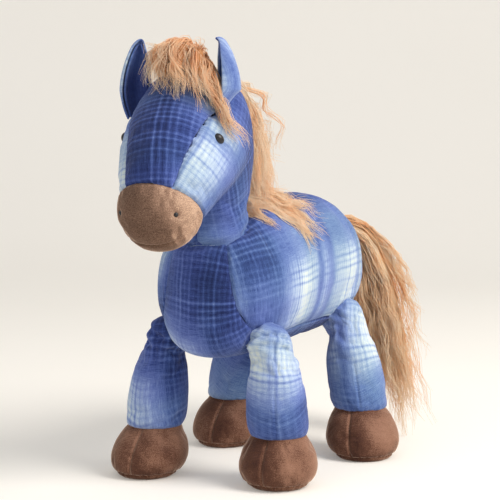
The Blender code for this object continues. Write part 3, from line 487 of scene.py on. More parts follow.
def draw_seams(panel, depth=SEAM_DEPTH, reach=SEAM_REACH, puff=0.0010, pucker=0.0005, allowance=0.0025):
    """Pulls the panel's edges in where the thread holds them, with small puckers across the seam and the
    stuffing standing up beside it, and turns the spare cloth in."""
    normals = smooth_normals(panel.data)
    form = form_from(panel)
    form.verts.ensure_lookup_table()
    edge = [v for v in form.verts if v.is_boundary]
    tree = KDTree(len(edge))
    for i, vert in enumerate(edge):
        tree.insert(vert.co, i)
    tree.balance()
    shifts = []
    for vert in form.verts:
        near, _, away = tree.find(vert.co)
        shift = puff * (1 - math.exp(-((away / 0.009) ** 2)))
        if away < 0.02:
            hold = math.exp(-((away / reach) ** 2))
            ripple = noise.noise(near * 260) + 0.6 * noise.noise(near * 120)
            shift += pucker * ripple * math.exp(-((away / 0.0075) ** 2)) * (1 - 0.7 * hold) - depth * hold
        shifts.append(shift)
    for vert, shift, normal in zip(form.verts, shifts, normals):
        vert.co += Vector(normal) * shift
    inwards = {v: Vector(-normals[v.index]) * allowance for v in edge}
    rim = [e for e in form.edges if e.is_boundary]
    for vert in bmesh.ops.extrude_edge_only(form, edges=rim)["geom"]:
        if isinstance(vert, bmesh.types.BMVert):
            others = [e.other_vert(vert) for e in vert.link_edges]
            source = min((v for v in others if v in inwards), key=lambda v: (v.co - vert.co).length)
            vert.co += inwards[source]
    put_back(form, panel)
    panel.data.shade_smooth()


def torso_place(along, half, low, high, wide, tall):
    bottom = BELLY_Z + TORSO_HEIGHT * low
    top = BELLY_Z + TORSO_HEIGHT * high
    level = bottom + (top - bottom) * 0.45
    z = level + tall * (top - level if tall > 0 else level - bottom)
    return STAND + Vector((TORSO_WIDTH / 2 * half * wide, CHEST_Y + TORSO_LENGTH * along, z))


def gusset_half(z):
    return curve_through(GUSSET_LEVELS, GUSSET_HALVES, np.clip(z, GUSSET_LEVELS[0], GUSSET_TOP))


torso = round_form("torso", TORSO_STATIONS, TORSO_CORNERS, torso_place)
even_cloth(torso, CLOTH_GRID)
shape = points_of(torso.data)
off_seam = np.abs(np.abs(shape[:, 0] - STAND.x) - gusset_half(shape[:, 2]))
off_back = np.abs(shape[:, 0] - STAND.x)
off_seam = np.where(shape[:, 2] < GUSSET_TOP, off_seam, off_back)
stuff(torso, np.clip(1.4 - off_seam / 0.005, 0, 1), 0.02, 0.004)

form = form_from(torso)
for vert in form.verts:
    vert.co.x = (vert.co.x - STAND.x) / float(gusset_half(vert.co.z)) * STRAIGHT_HALF
cut_line(form, lambda c: c.z < GUSSET_TOP + 0.004, (STRAIGHT_HALF, 0, 0), (1, 0, 0))
cut_line(form, lambda c: c.z < GUSSET_TOP + 0.004, (-STRAIGHT_HALF, 0, 0), (1, 0, 0))
for vert in form.verts:
    vert.co.x = STAND.x + vert.co.x / STRAIGHT_HALF * float(gusset_half(vert.co.z))
cut_line(form, lambda c: abs(c.x - STAND.x) < GUSSET_HALVES[-1] + 0.003, (0, 0, GUSSET_TOP), (0, 0, 1))
cut_line(form, lambda c: c.z > GUSSET_TOP - 0.002, STAND, (1, 0, 0))


def torso_owner(centre):
    if centre.z < GUSSET_TOP and abs(centre.x - STAND.x) < float(gusset_half(centre.z)):
        return 0
    return 1 if centre.x > STAND.x else 2


part_panels(form, torso_owner)
put_back(form, torso)
flatten_cloth(torso)
smaller_squares(torso, 2)
gusset, side_left, side_right = take_panels(torso, ("chest_gusset_cloth", "side_left_cloth", "side_right_cloth"))
lay_cloth(gusset, (-0.006, -0.111, 0.185), (-0.006, -0.110, 0.215), (0.2225, 0.2396), 3.5)
lay_cloth(side_left, (0.051, -0.015, 0.167), (0.050, -0.015, 0.20), (0.1938, 0.1201), 175.2)
lay_cloth(side_right, (-0.068, -0.015, 0.167), (-0.068, -0.015, 0.20), (0.1388, 0.2085), 177.7)
for panel in (gusset, side_left, side_right):
    draw_seams(panel, pucker=0.0003)

# Brushed flannel: bands of dye blur into one another both ways, and where two bands cross the darker
# one shows more. Groups of thin yarns run light over the dark bands and dark over the pale. Some bands
# are dyed violet blue and others steel blue.
PLAID_REPEAT = 0.240
YARN_STEPS = (0.0048, 0.0060)
WARP_BANDS = (
    (0.0, 0.17), (0.12, 0.17), (0.19, 0.34), (0.22, 0.69), (0.25, 0.72), (0.28, 0.53), (0.34, 0.88), (0.50, 0.66),
    (0.56, 0.40), (0.625, 0.62), (0.656, 0.33), (0.72, 0.70), (0.78, 0.84), (0.81, 0.98), (0.91, 0.64), (0.94, 0.46),
    (1.0, 0.17),
)
WEFT_BANDS = (
    (0.0, 0.12), (0.28, 0.38), (0.44, 1.0), (0.56, 0.98), (0.625, 0.64), (0.656, 0.86), (0.75, 0.74), (0.84, 0.32),
    (0.91, 0.10), (1.0, 0.12),
)
# How strongly the thin yarns show along the repeat.
YARN_GROUPS = (
    (0.0, 0.65), (0.10, 0.55), (0.16, 0.80), (0.22, 1.0), (0.29, 0.95), (0.34, 0.45), (0.42, 0.90), (0.48, 0.45),
    (0.56, 0.55), (0.61, 1.0), (0.67, 1.0), (0.72, 0.50), (0.79, 0.65), (0.85, 1.0), (0.92, 0.85), (1.0, 0.65),
)
WARP_STEEL = (
    (0.0, 0.27), (0.08, 0.11), (0.17, 0.14), (0.25, 0.42), (0.33, 0.05), (0.45, 0.40), (0.52, 0.40), (0.58, 0.0),
    (0.67, 0.13), (0.75, 0.36), (0.83, 0.0), (0.92, 0.0), (1.0, 0.27),
)
WEFT_STEEL = (
    (0.0, 0.14), (0.10, 0.05), (0.17, 0.12), (0.25, 0.43), (0.35, 0.39), (0.42, 0.28), (0.50, 0.05), (0.60, 0.18),
    (0.67, 0.23), (0.75, 0.0), (0.92, 0.10), (1.0, 0.14),
)
VIOLET_DYES = (
    (0.0, "182350"), (0.12, "232e64"), (0.28, "3a4a8a"), (0.42, "5667aa"), (0.55, "7183be"),
    (0.68, "8fa1d0"), (0.80, "abbddc"), (0.92, "c4d3e4"), (1.0, "d6e0e3"),
)
STEEL_DYES = (
    (0.0, "1d2b50"), (0.12, "293d6a"), (0.28, "3f5a8a"), (0.42, "5a78a5"), (0.55, "7693b4"),
    (0.68, "95adc1"), (0.80, "b2c6cd"), (0.92, "ccd8d0"), (1.0, "dde3c8"),
)


def ramp_of(node, stops, mode="EASE", colours=False):
    """A colour ramp through a table of places and tones."""
    made = node("ShaderNodeValToRGB")
    made.color_ramp.interpolation = mode
    points = made.color_ramp.elements
    for i, (place, value) in enumerate(stops):
        point = points[i] if i < 2 else points.new(place)
        point.position = place
        point.color = dye(value) if colours else (value, value, value, 1)
    return made


def plaid_flannel(name, dim=1.0):
    material, node, join = new_material(name)

    def figure(operation, first, second=None, third=None):
        made = node("ShaderNodeMath", operation=operation)
        for slot, value in enumerate((first, second, third)):
            if value is None:
                continue
            if isinstance(value, (int, float)):
                made.inputs[slot].default_value = value
            else:
                join(value, made.inputs[slot])
        return made.outputs[0]

    where = node("ShaderNodeUVMap")
    parts = node("ShaderNodeSeparateXYZ")
    join(where.outputs[0], parts.inputs[0])
    waver = node("ShaderNodeTexNoise", {"Scale": 22}, noise_dimensions="2D")
    join(where.outputs[0], waver.inputs["Vector"])
    drift = figure("MULTIPLY", figure("SUBTRACT", waver.outputs["Fac"], 0.5), 0.004)

    tones, lines, steels = [], [], []
    for axis, bands, steel_share in ((0, WARP_BANDS, WARP_STEEL), (1, WEFT_BANDS, WEFT_STEEL)):
        along = figure("ADD", parts.outputs[axis], drift)
        share = figure("FRACT", figure("MULTIPLY", along, 1 / PLAID_REPEAT))
        band = ramp_of(node, bands)
        join(share, band.inputs[0])
        window = ramp_of(node, YARN_GROUPS)
        join(share, window.inputs[0])
        comb = figure("PINGPONG", along, YARN_STEPS[axis] / 2)
        yarn = figure("POWER", figure("MULTIPLY", comb, 2 / YARN_STEPS[axis]), 1.6)
        count = figure("FLOOR", figure("MULTIPLY", along, 1 / YARN_STEPS[axis]))
        chance = node("ShaderNodeTexWhiteNoise", noise_dimensions="1D")
        join(count, chance.inputs["W"])
        yarn = figure("MULTIPLY", yarn, figure("MULTIPLY_ADD", chance.outputs["Value"], 1.0, 0.18))
        streak = node("ShaderNodeTexNoise", {"Scale": 1, "Detail": 3}, noise_dimensions="2D")
        stretch = node("ShaderNodeMapping", {"Scale": (1500, 110, 1) if axis == 0 else (110, 1500, 1)})
        join(where.outputs[0], stretch.inputs[0])
        join(stretch.outputs[0], streak.inputs["Vector"])
        slub = figure("MULTIPLY", figure("SUBTRACT", streak.outputs["Fac"], 0.5), 0.42)
        lines.append(figure("MULTIPLY", yarn, window.outputs[0]))
        tones.append(figure("ADD", band.outputs[0], slub))
        steel_band = ramp_of(node, steel_share)
        join(share, steel_band.inputs[0])
        steels.append(steel_band.outputs[0])
    darker = figure("MULTIPLY", figure("MINIMUM", *tones), 0.76)
    ground = figure("MULTIPLY_ADD", figure("MAXIMUM", *tones), 0.24, darker)
    ground = figure("MULTIPLY_ADD", ground, 1.24, -0.115)
    both = figure("MINIMUM", figure("MULTIPLY", figure("ADD", *lines), 0.72), 1.0)
    tone = figure("MULTIPLY_ADD", figure("SUBTRACT", 0.50, ground), both, ground)
    fuzz = node("ShaderNodeTexNoise", {"Scale": 900, "Detail": 2}, noise_dimensions="2D")
    join(where.outputs[0], fuzz.inputs["Vector"])
    faded = node("ShaderNodeTexNoise", {"Scale": 30, "Detail": 3}, noise_dimensions="2D")
    join(where.outputs[0], faded.inputs["Vector"])
    specks = figure("ADD", fuzz.outputs["Fac"], faded.outputs["Fac"])
    speck = figure("MULTIPLY", figure("SUBTRACT", specks, 1.0), 0.16)
    tone = figure("MULTIPLY", figure("ADD", tone, speck), dim)
    violet = ramp_of(node, VIOLET_DYES, "LINEAR", True)
    steel = ramp_of(node, STEEL_DYES, "LINEAR", True)
    join(tone, violet.inputs[0])
    join(tone, steel.inputs[0])
    colour = node("ShaderNodeMix", data_type="RGBA")
    join(figure("ADD", *steels), colour.inputs[0])
    join(violet.outputs[0], colour.inputs[6])
    join(steel.outputs[0], colour.inputs[7])

    twill = node("ShaderNodeTexWave", {
        "Scale": 520, "Distortion": 2.5, "Detail": 1,
    }, wave_type="BANDS", bands_direction="DIAGONAL")
    join(where.outputs[0], twill.inputs["Vector"])
    height = figure("ADD", figure("MULTIPLY", twill.outputs["Fac"], 0.35), fuzz.outputs["Fac"])
    bump = node("ShaderNodeBump", {"Strength": 0.45, "Distance": 0.0006})
    join(height, bump.inputs["Height"])
    surface = node("ShaderNodeBsdfPrincipled", {
        "Roughness": 0.92, "Specular IOR Level": 0.18, "Sheen Weight": 0.30, "Sheen Roughness": 0.45,
        "Sheen Tint": dye("c9d2f2"),
    })
    ending = node("ShaderNodeOutputMaterial")
    join(colour.outputs[2], surface.inputs["Base Color"])
    join(bump.outputs[0], surface.inputs["Normal"])
    join(surface.outputs[0], ending.inputs[0])
    return material


flannel = plaid_flannel("plaid_flannel")
for panel, nodes in (
    (gusset, ("chest_belly_gusset", "torso_fill")),
    (side_left, ("torso_side_left",)),
    (side_right, ("torso_side_right",)),
):
    wear(panel, flannel)
    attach(panel, "torso")
    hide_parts(*nodes)


# --- Head: forehead gusset, two cheeks and the velour muzzle ----------------------------------
# The head and neck are one stuffed form. The gusset runs from the poll down the face to the
# muzzle, the cheeks run on down the neck to the chest, and the muzzle is an upper cap and a chin
# of short brown velour joined along the mouth.

HEAD_TURN = math.radians(4)
HEAD_LENGTH = 0.169
HEAD_WIDTH = 0.099
HEAD_DEPTH = 0.113
HEAD_SLOPE = math.radians(42)
NECK_MIDDLE = STAND + Vector((0, -0.070, 0.2276))
NECK_TALL = 0.145
# Along the egg from the poll, then half width, throat side and brow side as shares.
EGG_STATIONS = (
    (0.0, 0.0, -0.04, -0.04),
    (0.025, 0.46, -0.25, 0.19),
    (0.090, 0.75, -0.39, 0.37),
    (0.200, 0.94, -0.455, 0.495),
    (0.345, 1.0, -0.44, 0.55),
    (0.490, 0.97, -0.38, 0.54),
    (0.630, 0.85, -0.33, 0.485),
    (0.760, 0.735, -0.32, 0.405),
    (0.860, 0.67, -0.29, 0.31),
    (0.930, 0.56, -0.23, 0.205),
    (0.978, 0.37, -0.155, 0.085),
    (1.0, 0.0, -0.04, -0.04),
)
# Up the neck from below its seam, then half width, back and front as shares.
NECK_LOW_SHARE = -0.17
NECK_STATIONS = (
    (0.0, 0.0, 0.0, 0.0),
    (0.03, 0.40, -0.16, 0.17),
    (0.145, 0.66, -0.27, 0.29),
    (0.214, 0.67, -0.265, 0.30),
    (0.291, 0.69, -0.23, 0.37),
    (0.402, 0.76, -0.24, 0.47),
    (0.590, 0.92, -0.17, 0.61),
    (0.795, 0.94, -0.06, 0.72),
    (0.932, 0.72, 0.07, 0.67),
    (1.0, 0.0, 0.39, 0.39),
)
MUZZLE_SEAM = (0.835, 0.34)
MUZZLE_LEAN = math.radians(16)
MOUTH = (0.96, -0.075)
MOUTH_LEAN = math.radians(100)
BROW_HALVES = ((-0.12, 0.30), (0.12, 0.58), (0.34, 0.785), (1.0, 0.335))
BROW_BASE = 0.08
# While the brow is cut its edges are drawn straight, this far from the middle.
STRAIGHT_BROW = 0.03

forwards = Matrix.Rotation(HEAD_TURN, 3, "Z") @ Vector((0, -1, 0))
across = Matrix.Rotation(HEAD_TURN, 3, "Z") @ Vector((1, 0, 0))
upwards = Vector((0, 0, 1))
down_face = forwards * math.cos(HEAD_SLOPE) - upwards * math.sin(HEAD_SLOPE)
off_face = forwards * math.sin(HEAD_SLOPE) + upwards * math.cos(HEAD_SLOPE)
POLL = NECK_MIDDLE + forwards * 0.003 + upwards * 0.119


def on_head(along, rise, sideways=0.0):
    """A place on the head, as shares of its length, depth and half width."""
    return (
        POLL + down_face * (HEAD_LENGTH * along) + off_face * (HEAD_DEPTH * rise)
        + across * (HEAD_WIDTH / 2 * sideways)
    )


def egg_place(along, half, low, high, wide, tall):
    middle, deep = (low + high) / 2, (high - low) / 2
    return on_head(along, middle + deep * tall, half * wide)


def neck_place(along, half, back, front, wide, tall):
    middle, deep = (back + front) / 2, (front - back) / 2
    level = NECK_TALL * (NECK_LOW_SHARE + (1 - NECK_LOW_SHARE) * along)
    return (
        NECK_MIDDLE + upwards * level + forwards * (HEAD_DEPTH * (middle + deep * tall))
        + across * (HEAD_WIDTH / 2 * half * wide)
    )


head = round_form("head", EGG_STATIONS, 2.0, egg_place)
neck = round_form("neck", NECK_STATIONS, 2.0, neck_place)
form = form_from(head, neck)
put_back(form, head)
bpy.data.objects.remove(neck)
even_cloth(head, 0.0034, passes=5)

HEAD_AXES = np.array([list(across), list(down_face), list(off_face)])


def head_shares(points):
    """Across, down the face and off it, in metres from the poll."""
    return (np.asarray(points, float) - np.array(POLL)) @ HEAD_AXES.T


def brow_half(down):
    return HEAD_WIDTH / 2 * float(np.interp(down / HEAD_LENGTH, *zip(*BROW_HALVES)))


SEAM_DOWN = HEAD_LENGTH * MUZZLE_SEAM[0]
SEAM_OFF = HEAD_DEPTH * MUZZLE_SEAM[1]
SEAM_WAY = Vector((0, 1, -math.tan(MUZZLE_LEAN))).normalized()
MOUTH_PLACE = Vector((0, HEAD_LENGTH * MOUTH[0], HEAD_DEPTH * MOUTH[1]))
MOUTH_WAY = Vector((0, math.cos(MOUTH_LEAN), -math.sin(MOUTH_LEAN)))
THROAT = -0.46 * HEAD_DEPTH


def past_muzzle_seam(c):
    return (c[1] - SEAM_DOWN) * SEAM_WAY.y + (c[2] - SEAM_OFF) * SEAM_WAY.z


def past_mouth(c):
    return (c[1] - MOUTH_PLACE.y) * MOUTH_WAY.y + (c[2] - MOUTH_PLACE.z) * MOUTH_WAY.z


local = head_shares(points_of(head.data))
held = []
for c in local:
    muzzle, above = past_muzzle_seam(c), c[2] - HEAD_DEPTH * BROW_BASE
    gaps = [abs(muzzle) if c[2] > THROAT else 1]
    if muzzle > 0:
        gaps.append(abs(past_mouth(c)))
    elif above > 0:
        gaps.append(abs(abs(c[0]) - brow_half(c[1])))
    else:
        gaps.append(abs(c[0]))
    held.append(1.35 - min(gaps) / 0.004)
level = points_of(head.data)[:, 2] - NECK_MIDDLE.z
stuff(head, np.clip(np.maximum(held, 1 - level / 0.008), 0, 1), 0.018, 0.0035)

form = form_from(head)
for vert in form.verts:
    c = head_shares(vert.co)
    vert.co = Vector((c[0] / brow_half(c[1]) * STRAIGHT_BROW, c[1], c[2]))
cut_line(form, lambda c: c.z < HEAD_DEPTH * BROW_BASE + 0.004, (0, 0, 0), (1, 0, 0))
for sign in (-1, 1):
    cut_line(form, lambda c: c.z > HEAD_DEPTH * BROW_BASE - 0.004, (STRAIGHT_BROW * sign, 0, 0), (1, 0, 0))
cut_line(form, lambda c: abs(c.x) < 0.034, (0, 0, HEAD_DEPTH * BROW_BASE), (0, 0, 1))
cut_line(form, lambda c: c.z > THROAT, (0, SEAM_DOWN, SEAM_OFF), SEAM_WAY)
cut_line(form, lambda c: past_muzzle_seam(c) > -0.002 and c.z > THROAT, MOUTH_PLACE, MOUTH_WAY)


def head_owner(c):
    if c.z > THROAT and past_muzzle_seam(c) > 0:
        return 4 if past_mouth(c) > 0 else 3
    if c.z > HEAD_DEPTH * BROW_BASE and abs(c.x) < STRAIGHT_BROW:
        return 0
    return 1 if c.x > 0 else 2


part_panels(form, head_owner)
for vert in form.verts:
    c = Vector((vert.co.x / STRAIGHT_BROW * brow_half(vert.co.y), vert.co.y, vert.co.z))
    vert.co = POLL + across * c.x + down_face * c.y + off_face * c.z
put_back(form, head)
flatten_cloth(head)
smaller_squares(head, 2)
forehead, cheek_left, cheek_right, muzzle_top, muzzle_chin = take_panels(
    head, ("forehead_cloth", "cheek_left_cloth", "cheek_right_cloth", "muzzle_top_velour", "muzzle_chin_velour")
)
lay_cloth(forehead, (-0.001, -0.197, 0.315), (-0.006, -0.178, 0.339), (0.012, 0.2292), -88)
lay_cloth(cheek_left, (0.032, -0.183, 0.305), (0.042, -0.151, 0.285), (0.0916, 0.1521), 9.1)
lay_cloth(cheek_right, (-0.049, -0.186, 0.305), (-0.055, -0.155, 0.285), (0.1146, 0.130), 9.4)
for panel in (forehead, cheek_left, cheek_right):
    draw_seams(panel, pucker=0.0002)
for panel in (muzzle_top, muzzle_chin):
    draw_seams(panel, depth=0.0020, reach=0.0015, puff=0.0014, pucker=0.0008)


def press_in(panel, line, depth, reach, fade=True):
    """A crease along a line of points: the cloth near it is pressed in and stands up a little beside it.
    It dies out towards both ends of the line, unless the line runs right round."""
    points = points_of(panel.data)
    normals = normals_of(panel.data)
    line = np.array([list(p) for p in line], float)
    best = np.full(len(points), 1e9)
    share = np.full(len(points), 0.5)
    for i in range(len(line) - 1):
        a, b = line[i], line[i + 1]
        t = np.clip(((points - a) @ (b - a)) / max((b - a) @ (b - a), 1e-12), 0, 1)
        away = np.linalg.norm(points - a - t[:, None] * (b - a), axis=1)
        if fade:
            share = np.where(away < best, (i + t) / (len(line) - 1), share)
        best = np.minimum(best, away)
    run = np.sin(np.pi * np.clip(share, 0.02, 0.98)) ** 0.6
    groove = np.exp(-((best / reach) ** 2))
    ridge = 0.35 * np.exp(-(((best - 2.2 * reach) / (1.2 * reach)) ** 2))
    move_points(panel.data, points - normals * (depth * run * (groove - ridge))[:, None])


def surface_of(panels):
    """The cloth of several panels as one surface to measure from."""
    form = form_from(*panels)
    tree = BVHTree.FromBMesh(form)
    form.free()
    return tree


def where_it_meets(panels, start, way):
    """The first place where a line from start meets one of the panels, and the way out of the cloth there."""
    place, normal, _, _ = surface_of(panels).ray_cast(start, way)
    return place, normal if normal.dot(way) < 0 else -normal


def ring_where(inner, outer, middle_at, low, high, count=64):
    """The line along which one stuffed form is sewn into another, between two heights."""
    form, around = surface_of(inner), surface_of(outer)
    line = []
    for k in range(count):
        turn = 2 * math.pi * k / count
        way = Vector((math.cos(turn), math.sin(turn), 0))

        def covered(level):
            spot = form.ray_cast(middle_at(level) + way * 0.004, way)[0]
            if spot is None:
                return None, None
            near, normal, _, _ = around.find_nearest(spot)
            return spot, (spot - near).dot(normal) < 0

        a, b = low, high
        first = covered(a)[1]
        if first is None or covered(b)[1] in (None, first):
            continue
        for _ in range(12):
            level = (a + b) / 2
            spot, inside = covered(level)
            if inside is None:
                break
            if inside == first:
                a = level
            else:
                b = level
        if spot is not None:
            line.append(spot)
    return line + line[:1]


torso_cloth = [gusset, side_left, side_right]


def find_neck_ring():
    """The line along which the neck is sewn to the chest, as the cloth lies now."""
    return ring_where([cheek_left, cheek_right], torso_cloth, lambda h: NECK_MIDDLE + upwards * h, -0.02, 0.05)


neck_ring = find_neck_ring()
for panel in (cheek_left, cheek_right, gusset, side_left, side_right):
    press_in(panel, neck_ring, 0.0026, 0.0036, fade=False)


# Short velour: painted light makes the cloth paler where it faces the lamp on the horse's left, and fine ribs run
# along the cloth.
def short_velour(name, deep, middle, light, pale, cloud_scale, cloud_share, painted_light_share):
    """Velour with painted light: the cloth that faces the horse's left, towards the lamp, is painted paler."""
    material, node, join = new_material(name)
    where = node("ShaderNodeTexCoord")
    cloud = node("ShaderNodeTexNoise", {"Scale": cloud_scale, "Detail": 4})
    nap = node("ShaderNodeTexNoise", {"Scale": 1300, "Detail": 3})
    ribs = node("ShaderNodeTexWave", {
        "Scale": 250, "Distortion": 2.0, "Detail": 2,
    }, wave_type="BANDS", bands_direction="Z")
    total = None
    for texture, share in ((cloud, cloud_share), (nap, 0.95 - cloud_share), (ribs, 0.05)):
        join(where.outputs["Object"], texture.inputs["Vector"])
        part = node("ShaderNodeMath", {1: share, 2: 0}, operation="MULTIPLY_ADD")
        join(texture.outputs["Fac"], part.inputs[0])
        if total is not None:
            join(total.outputs[0], part.inputs[2])
        total = part
    # Painted light: cloth facing (0.95, -0.10, 0.25), about the way to the window lamp, is painted paler by up to
    # the given share.
    lean = node("ShaderNodeVectorMath", {1: (0.95, -0.10, 0.25)}, operation="DOT_PRODUCT")
    join(where.outputs["Normal"], lean.inputs[0])
    painted_side_light = node("ShaderNodeMapRange", {
        "From Min": 0.15, "From Max": 1.0, "To Max": painted_light_share,
    }, interpolation_type="SMOOTHSTEP")
    join(lean.outputs["Value"], painted_side_light.inputs[0])
    shade = node("ShaderNodeMath", operation="ADD")
    join(total.outputs[0], shade.inputs[0])
    join(painted_side_light.outputs[0], shade.inputs[1])
    colour = ramp_of(node, ((0.36, deep), (0.50, middle), (0.66, light), (0.95, pale)), "EASE", True)
    join(shade.outputs[0], colour.inputs[0])
    bump = node("ShaderNodeBump", {"Strength": 0.30, "Distance": 0.0005})
    join(total.outputs[0], bump.inputs["Height"])
    surface = node("ShaderNodeBsdfPrincipled", {
        "Roughness": 0.85, "Specular IOR Level": 0.2, "Sheen Weight": 1.0, "Sheen Roughness": 0.32,
        "Sheen Tint": dye("ffdcc2"),
    })
    ending = node("ShaderNodeOutputMaterial")
    join(colour.outputs[0], surface.inputs["Base Color"])
    join(bump.outputs[0], surface.inputs["Normal"])
    join(surface.outputs[0], ending.inputs[0])
    return material


# The last number is the share of painted light on the muzzle's side that faces the lamp.
velour = short_velour("muzzle_velour", "4c382d", "6d5344", "92725f", "cba98f", 40, 0.24, 0.32)
for panel, finish, material_slot, nodes in (
    (forehead, flannel, "plaid_flannel", ("forehead_gusset", "head_fill")),
    (cheek_left, flannel, "plaid_flannel", ("cheek_left",)),
    (cheek_right, flannel, "plaid_flannel", ("cheek_right",)),
    (muzzle_top, velour, "velour", ("muzzle_top",)),
    (muzzle_chin, velour, "velour", ("muzzle_chin",)),
):
    wear(panel, finish)
    if panel in (cheek_left, cheek_right):
        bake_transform(panel)
    else:
        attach(panel, "head")
    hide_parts(*nodes)


# --- Eyes and nostrils ---------------------------------------------------------------------------
# Each eye is a flat black oval button on a shank, held by a washer behind the cheek. The
# nostrils are two small beads sewn tight into the velour.

def dimple(panel, place, way, depth, reach):
    """Draws the cloth in round a place where a thread holds it."""
    points = points_of(panel.data)
    away = np.linalg.norm(points - np.array(place), axis=1)
    move_points(panel.data, points - np.array(way) * (depth * np.exp(-((away / reach) ** 2)))[:, None])


def button(name, place, way, upright, half_wide, half_tall, dome):
    """A flat oval dome with a rounded rim, facing way."""
    side = upright.cross(way).normalized()
    tall = way.cross(side)
    form = bmesh.new()
    bmesh.ops.create_uvsphere(form, u_segments=40, v_segments=24, radius=1)
    for vert in form.verts:
        x, y, z = vert.co
        flat = math.copysign(abs(z) ** 1.25, z) * (1.0 if z > 0 else 0.45)
        vert.co = place + side * (x * half_wide) + tall * (y * half_tall) + way * (flat * dome)
    bmesh.ops.recalc_face_normals(form, faces=form.faces)
    return object_of(name, form)


black, node, join = new_material("eye_black")
where = node("ShaderNodeTexCoord")
haze = node("ShaderNodeTexNoise", {"Scale": 420, "Detail": 3})
join(where.outputs["Object"], haze.inputs["Vector"])
colour = ramp_of(node, ((0.3, "141315"), (0.75, "262427")), "LINEAR", True)
join(haze.outputs["Fac"], colour.inputs[0])
sheen = node("ShaderNodeMapRange", {"To Min": 0.28, "To Max": 0.45})
join(haze.outputs["Fac"], sheen.inputs[0])
surface = node("ShaderNodeBsdfPrincipled")
join(colour.outputs[0], surface.inputs["Base Color"])
join(sheen.outputs[0], surface.inputs["Roughness"])
ending = node("ShaderNodeOutputMaterial")
join(surface.outputs[0], ending.inputs[0])

for side, sign, cheek in (("left", 1, cheek_left), ("right", -1, cheek_right)):
    place, way = where_it_meets([cheek, forehead], on_head(0.472, 0.271, sign * 2), across * -sign)
    dimple(cheek, place, way, 0.0016, 0.0075)
    eye = button(f"eye_button_{side}", place - way * 0.0012, way, off_face, 0.0038, 0.0051, 0.0030)
    bead_start = on_head(0.806, -0.011)
    out = (forwards * math.cos(math.radians(47)) + across * (sign * math.sin(math.radians(47)))).normalized()
    place, way = where_it_meets([muzzle_top], bead_start + out * HEAD_LENGTH, -out)
    dimple(muzzle_top, place, way, 0.0016, 0.0035)
    bead = button(f"nostril_bead_{side}", place - way * 0.0014, way, off_face, 0.0020, 0.0021, 0.0014)
    for piece, node_name in ((eye, f"eye_{side}"), (bead, f"nostril_{side}")):
        piece.data.materials.append(black)
        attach(piece, "head")
        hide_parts(node_name)
    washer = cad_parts[f"eye_washer_{side}"]
    for slot in washer.material_slots:
        slot.material = black


# The doubled thread that closes the neck's seam lies at the bottom of its crease.
neck_ring = find_neck_ring()
thread = bpy.data.curves.new("neck_stitching", "CURVE")
thread.dimensions = "3D"
thread.bevel_depth = 0.0004
thread.bevel_resolution = 2
spline = thread.splines.new("POLY")
spline.points.add(len(neck_ring) - 2)
spline.use_cyclic_u = True
for point, spot in zip(spline.points, neck_ring):
    point.co = (*spot, 1)
holder = bpy.data.objects.new("neck_stitching", thread)
scene.collection.objects.link(holder)
drawn = bpy.data.meshes.new_from_object(holder)
bpy.data.objects.remove(holder)
stitching = bpy.data.objects.new("neck_stitching", drawn)
scene.collection.objects.link(stitching)
stitching.data.materials.append(flannel)
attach(stitching, "torso")
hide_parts("neck_thread")


# --- Ears ------------------------------------------------------------------------------------------
# Two leaves each, a plaid outer and a lining of the same flannel painted darker as shade inside the cup, sewn round
# the edge and turned. The root is folded together as it is sewn into the head, which cups the leaf.

EAR_HEIGHT = 0.064
EAR_WIDTHS = {"left": 0.0255, "right": 0.031}
EAR_LAYER = 0.0018
EAR_GAP = 0.0003
EAR_FACING = math.radians(-58)
EAR_SETTING = math.radians(38)
EAR_LEAN = math.radians(-4)
EAR_CUPS = {"left": math.radians(222), "right": math.radians(165)}
EAR_ROOT_CUP = math.radians(70)
EAR_WIDEST = 0.30
# Where the root of each ear lies on the cloth, and whether the cloth runs up or down.
EAR_CLOTH = {"left": (0.145, 0.186, -1), "right": (0.160, 0.205, -1)}
# How far up each ear's tip starts to curl over, and how tightly, in metres.
EAR_CURLS = {"left": (0.90, 0.0080), "right": (0.84, 0.0120)}


def leaf_half(side, share):
    """Half the leaf's width up its height: broad at the root, widest low down, pointed at the tip."""
    if share < EAR_WIDEST:
        wide = 0.64 + 0.36 * math.sin(math.pi / 2 * share / EAR_WIDEST)
    else:
        wide = max(math.cos(math.pi / 2 * (share - EAR_WIDEST) / (1 - EAR_WIDEST)), 0) ** 0.60
    return EAR_WIDTHS[side] / 2 * max(wide, 0.03)


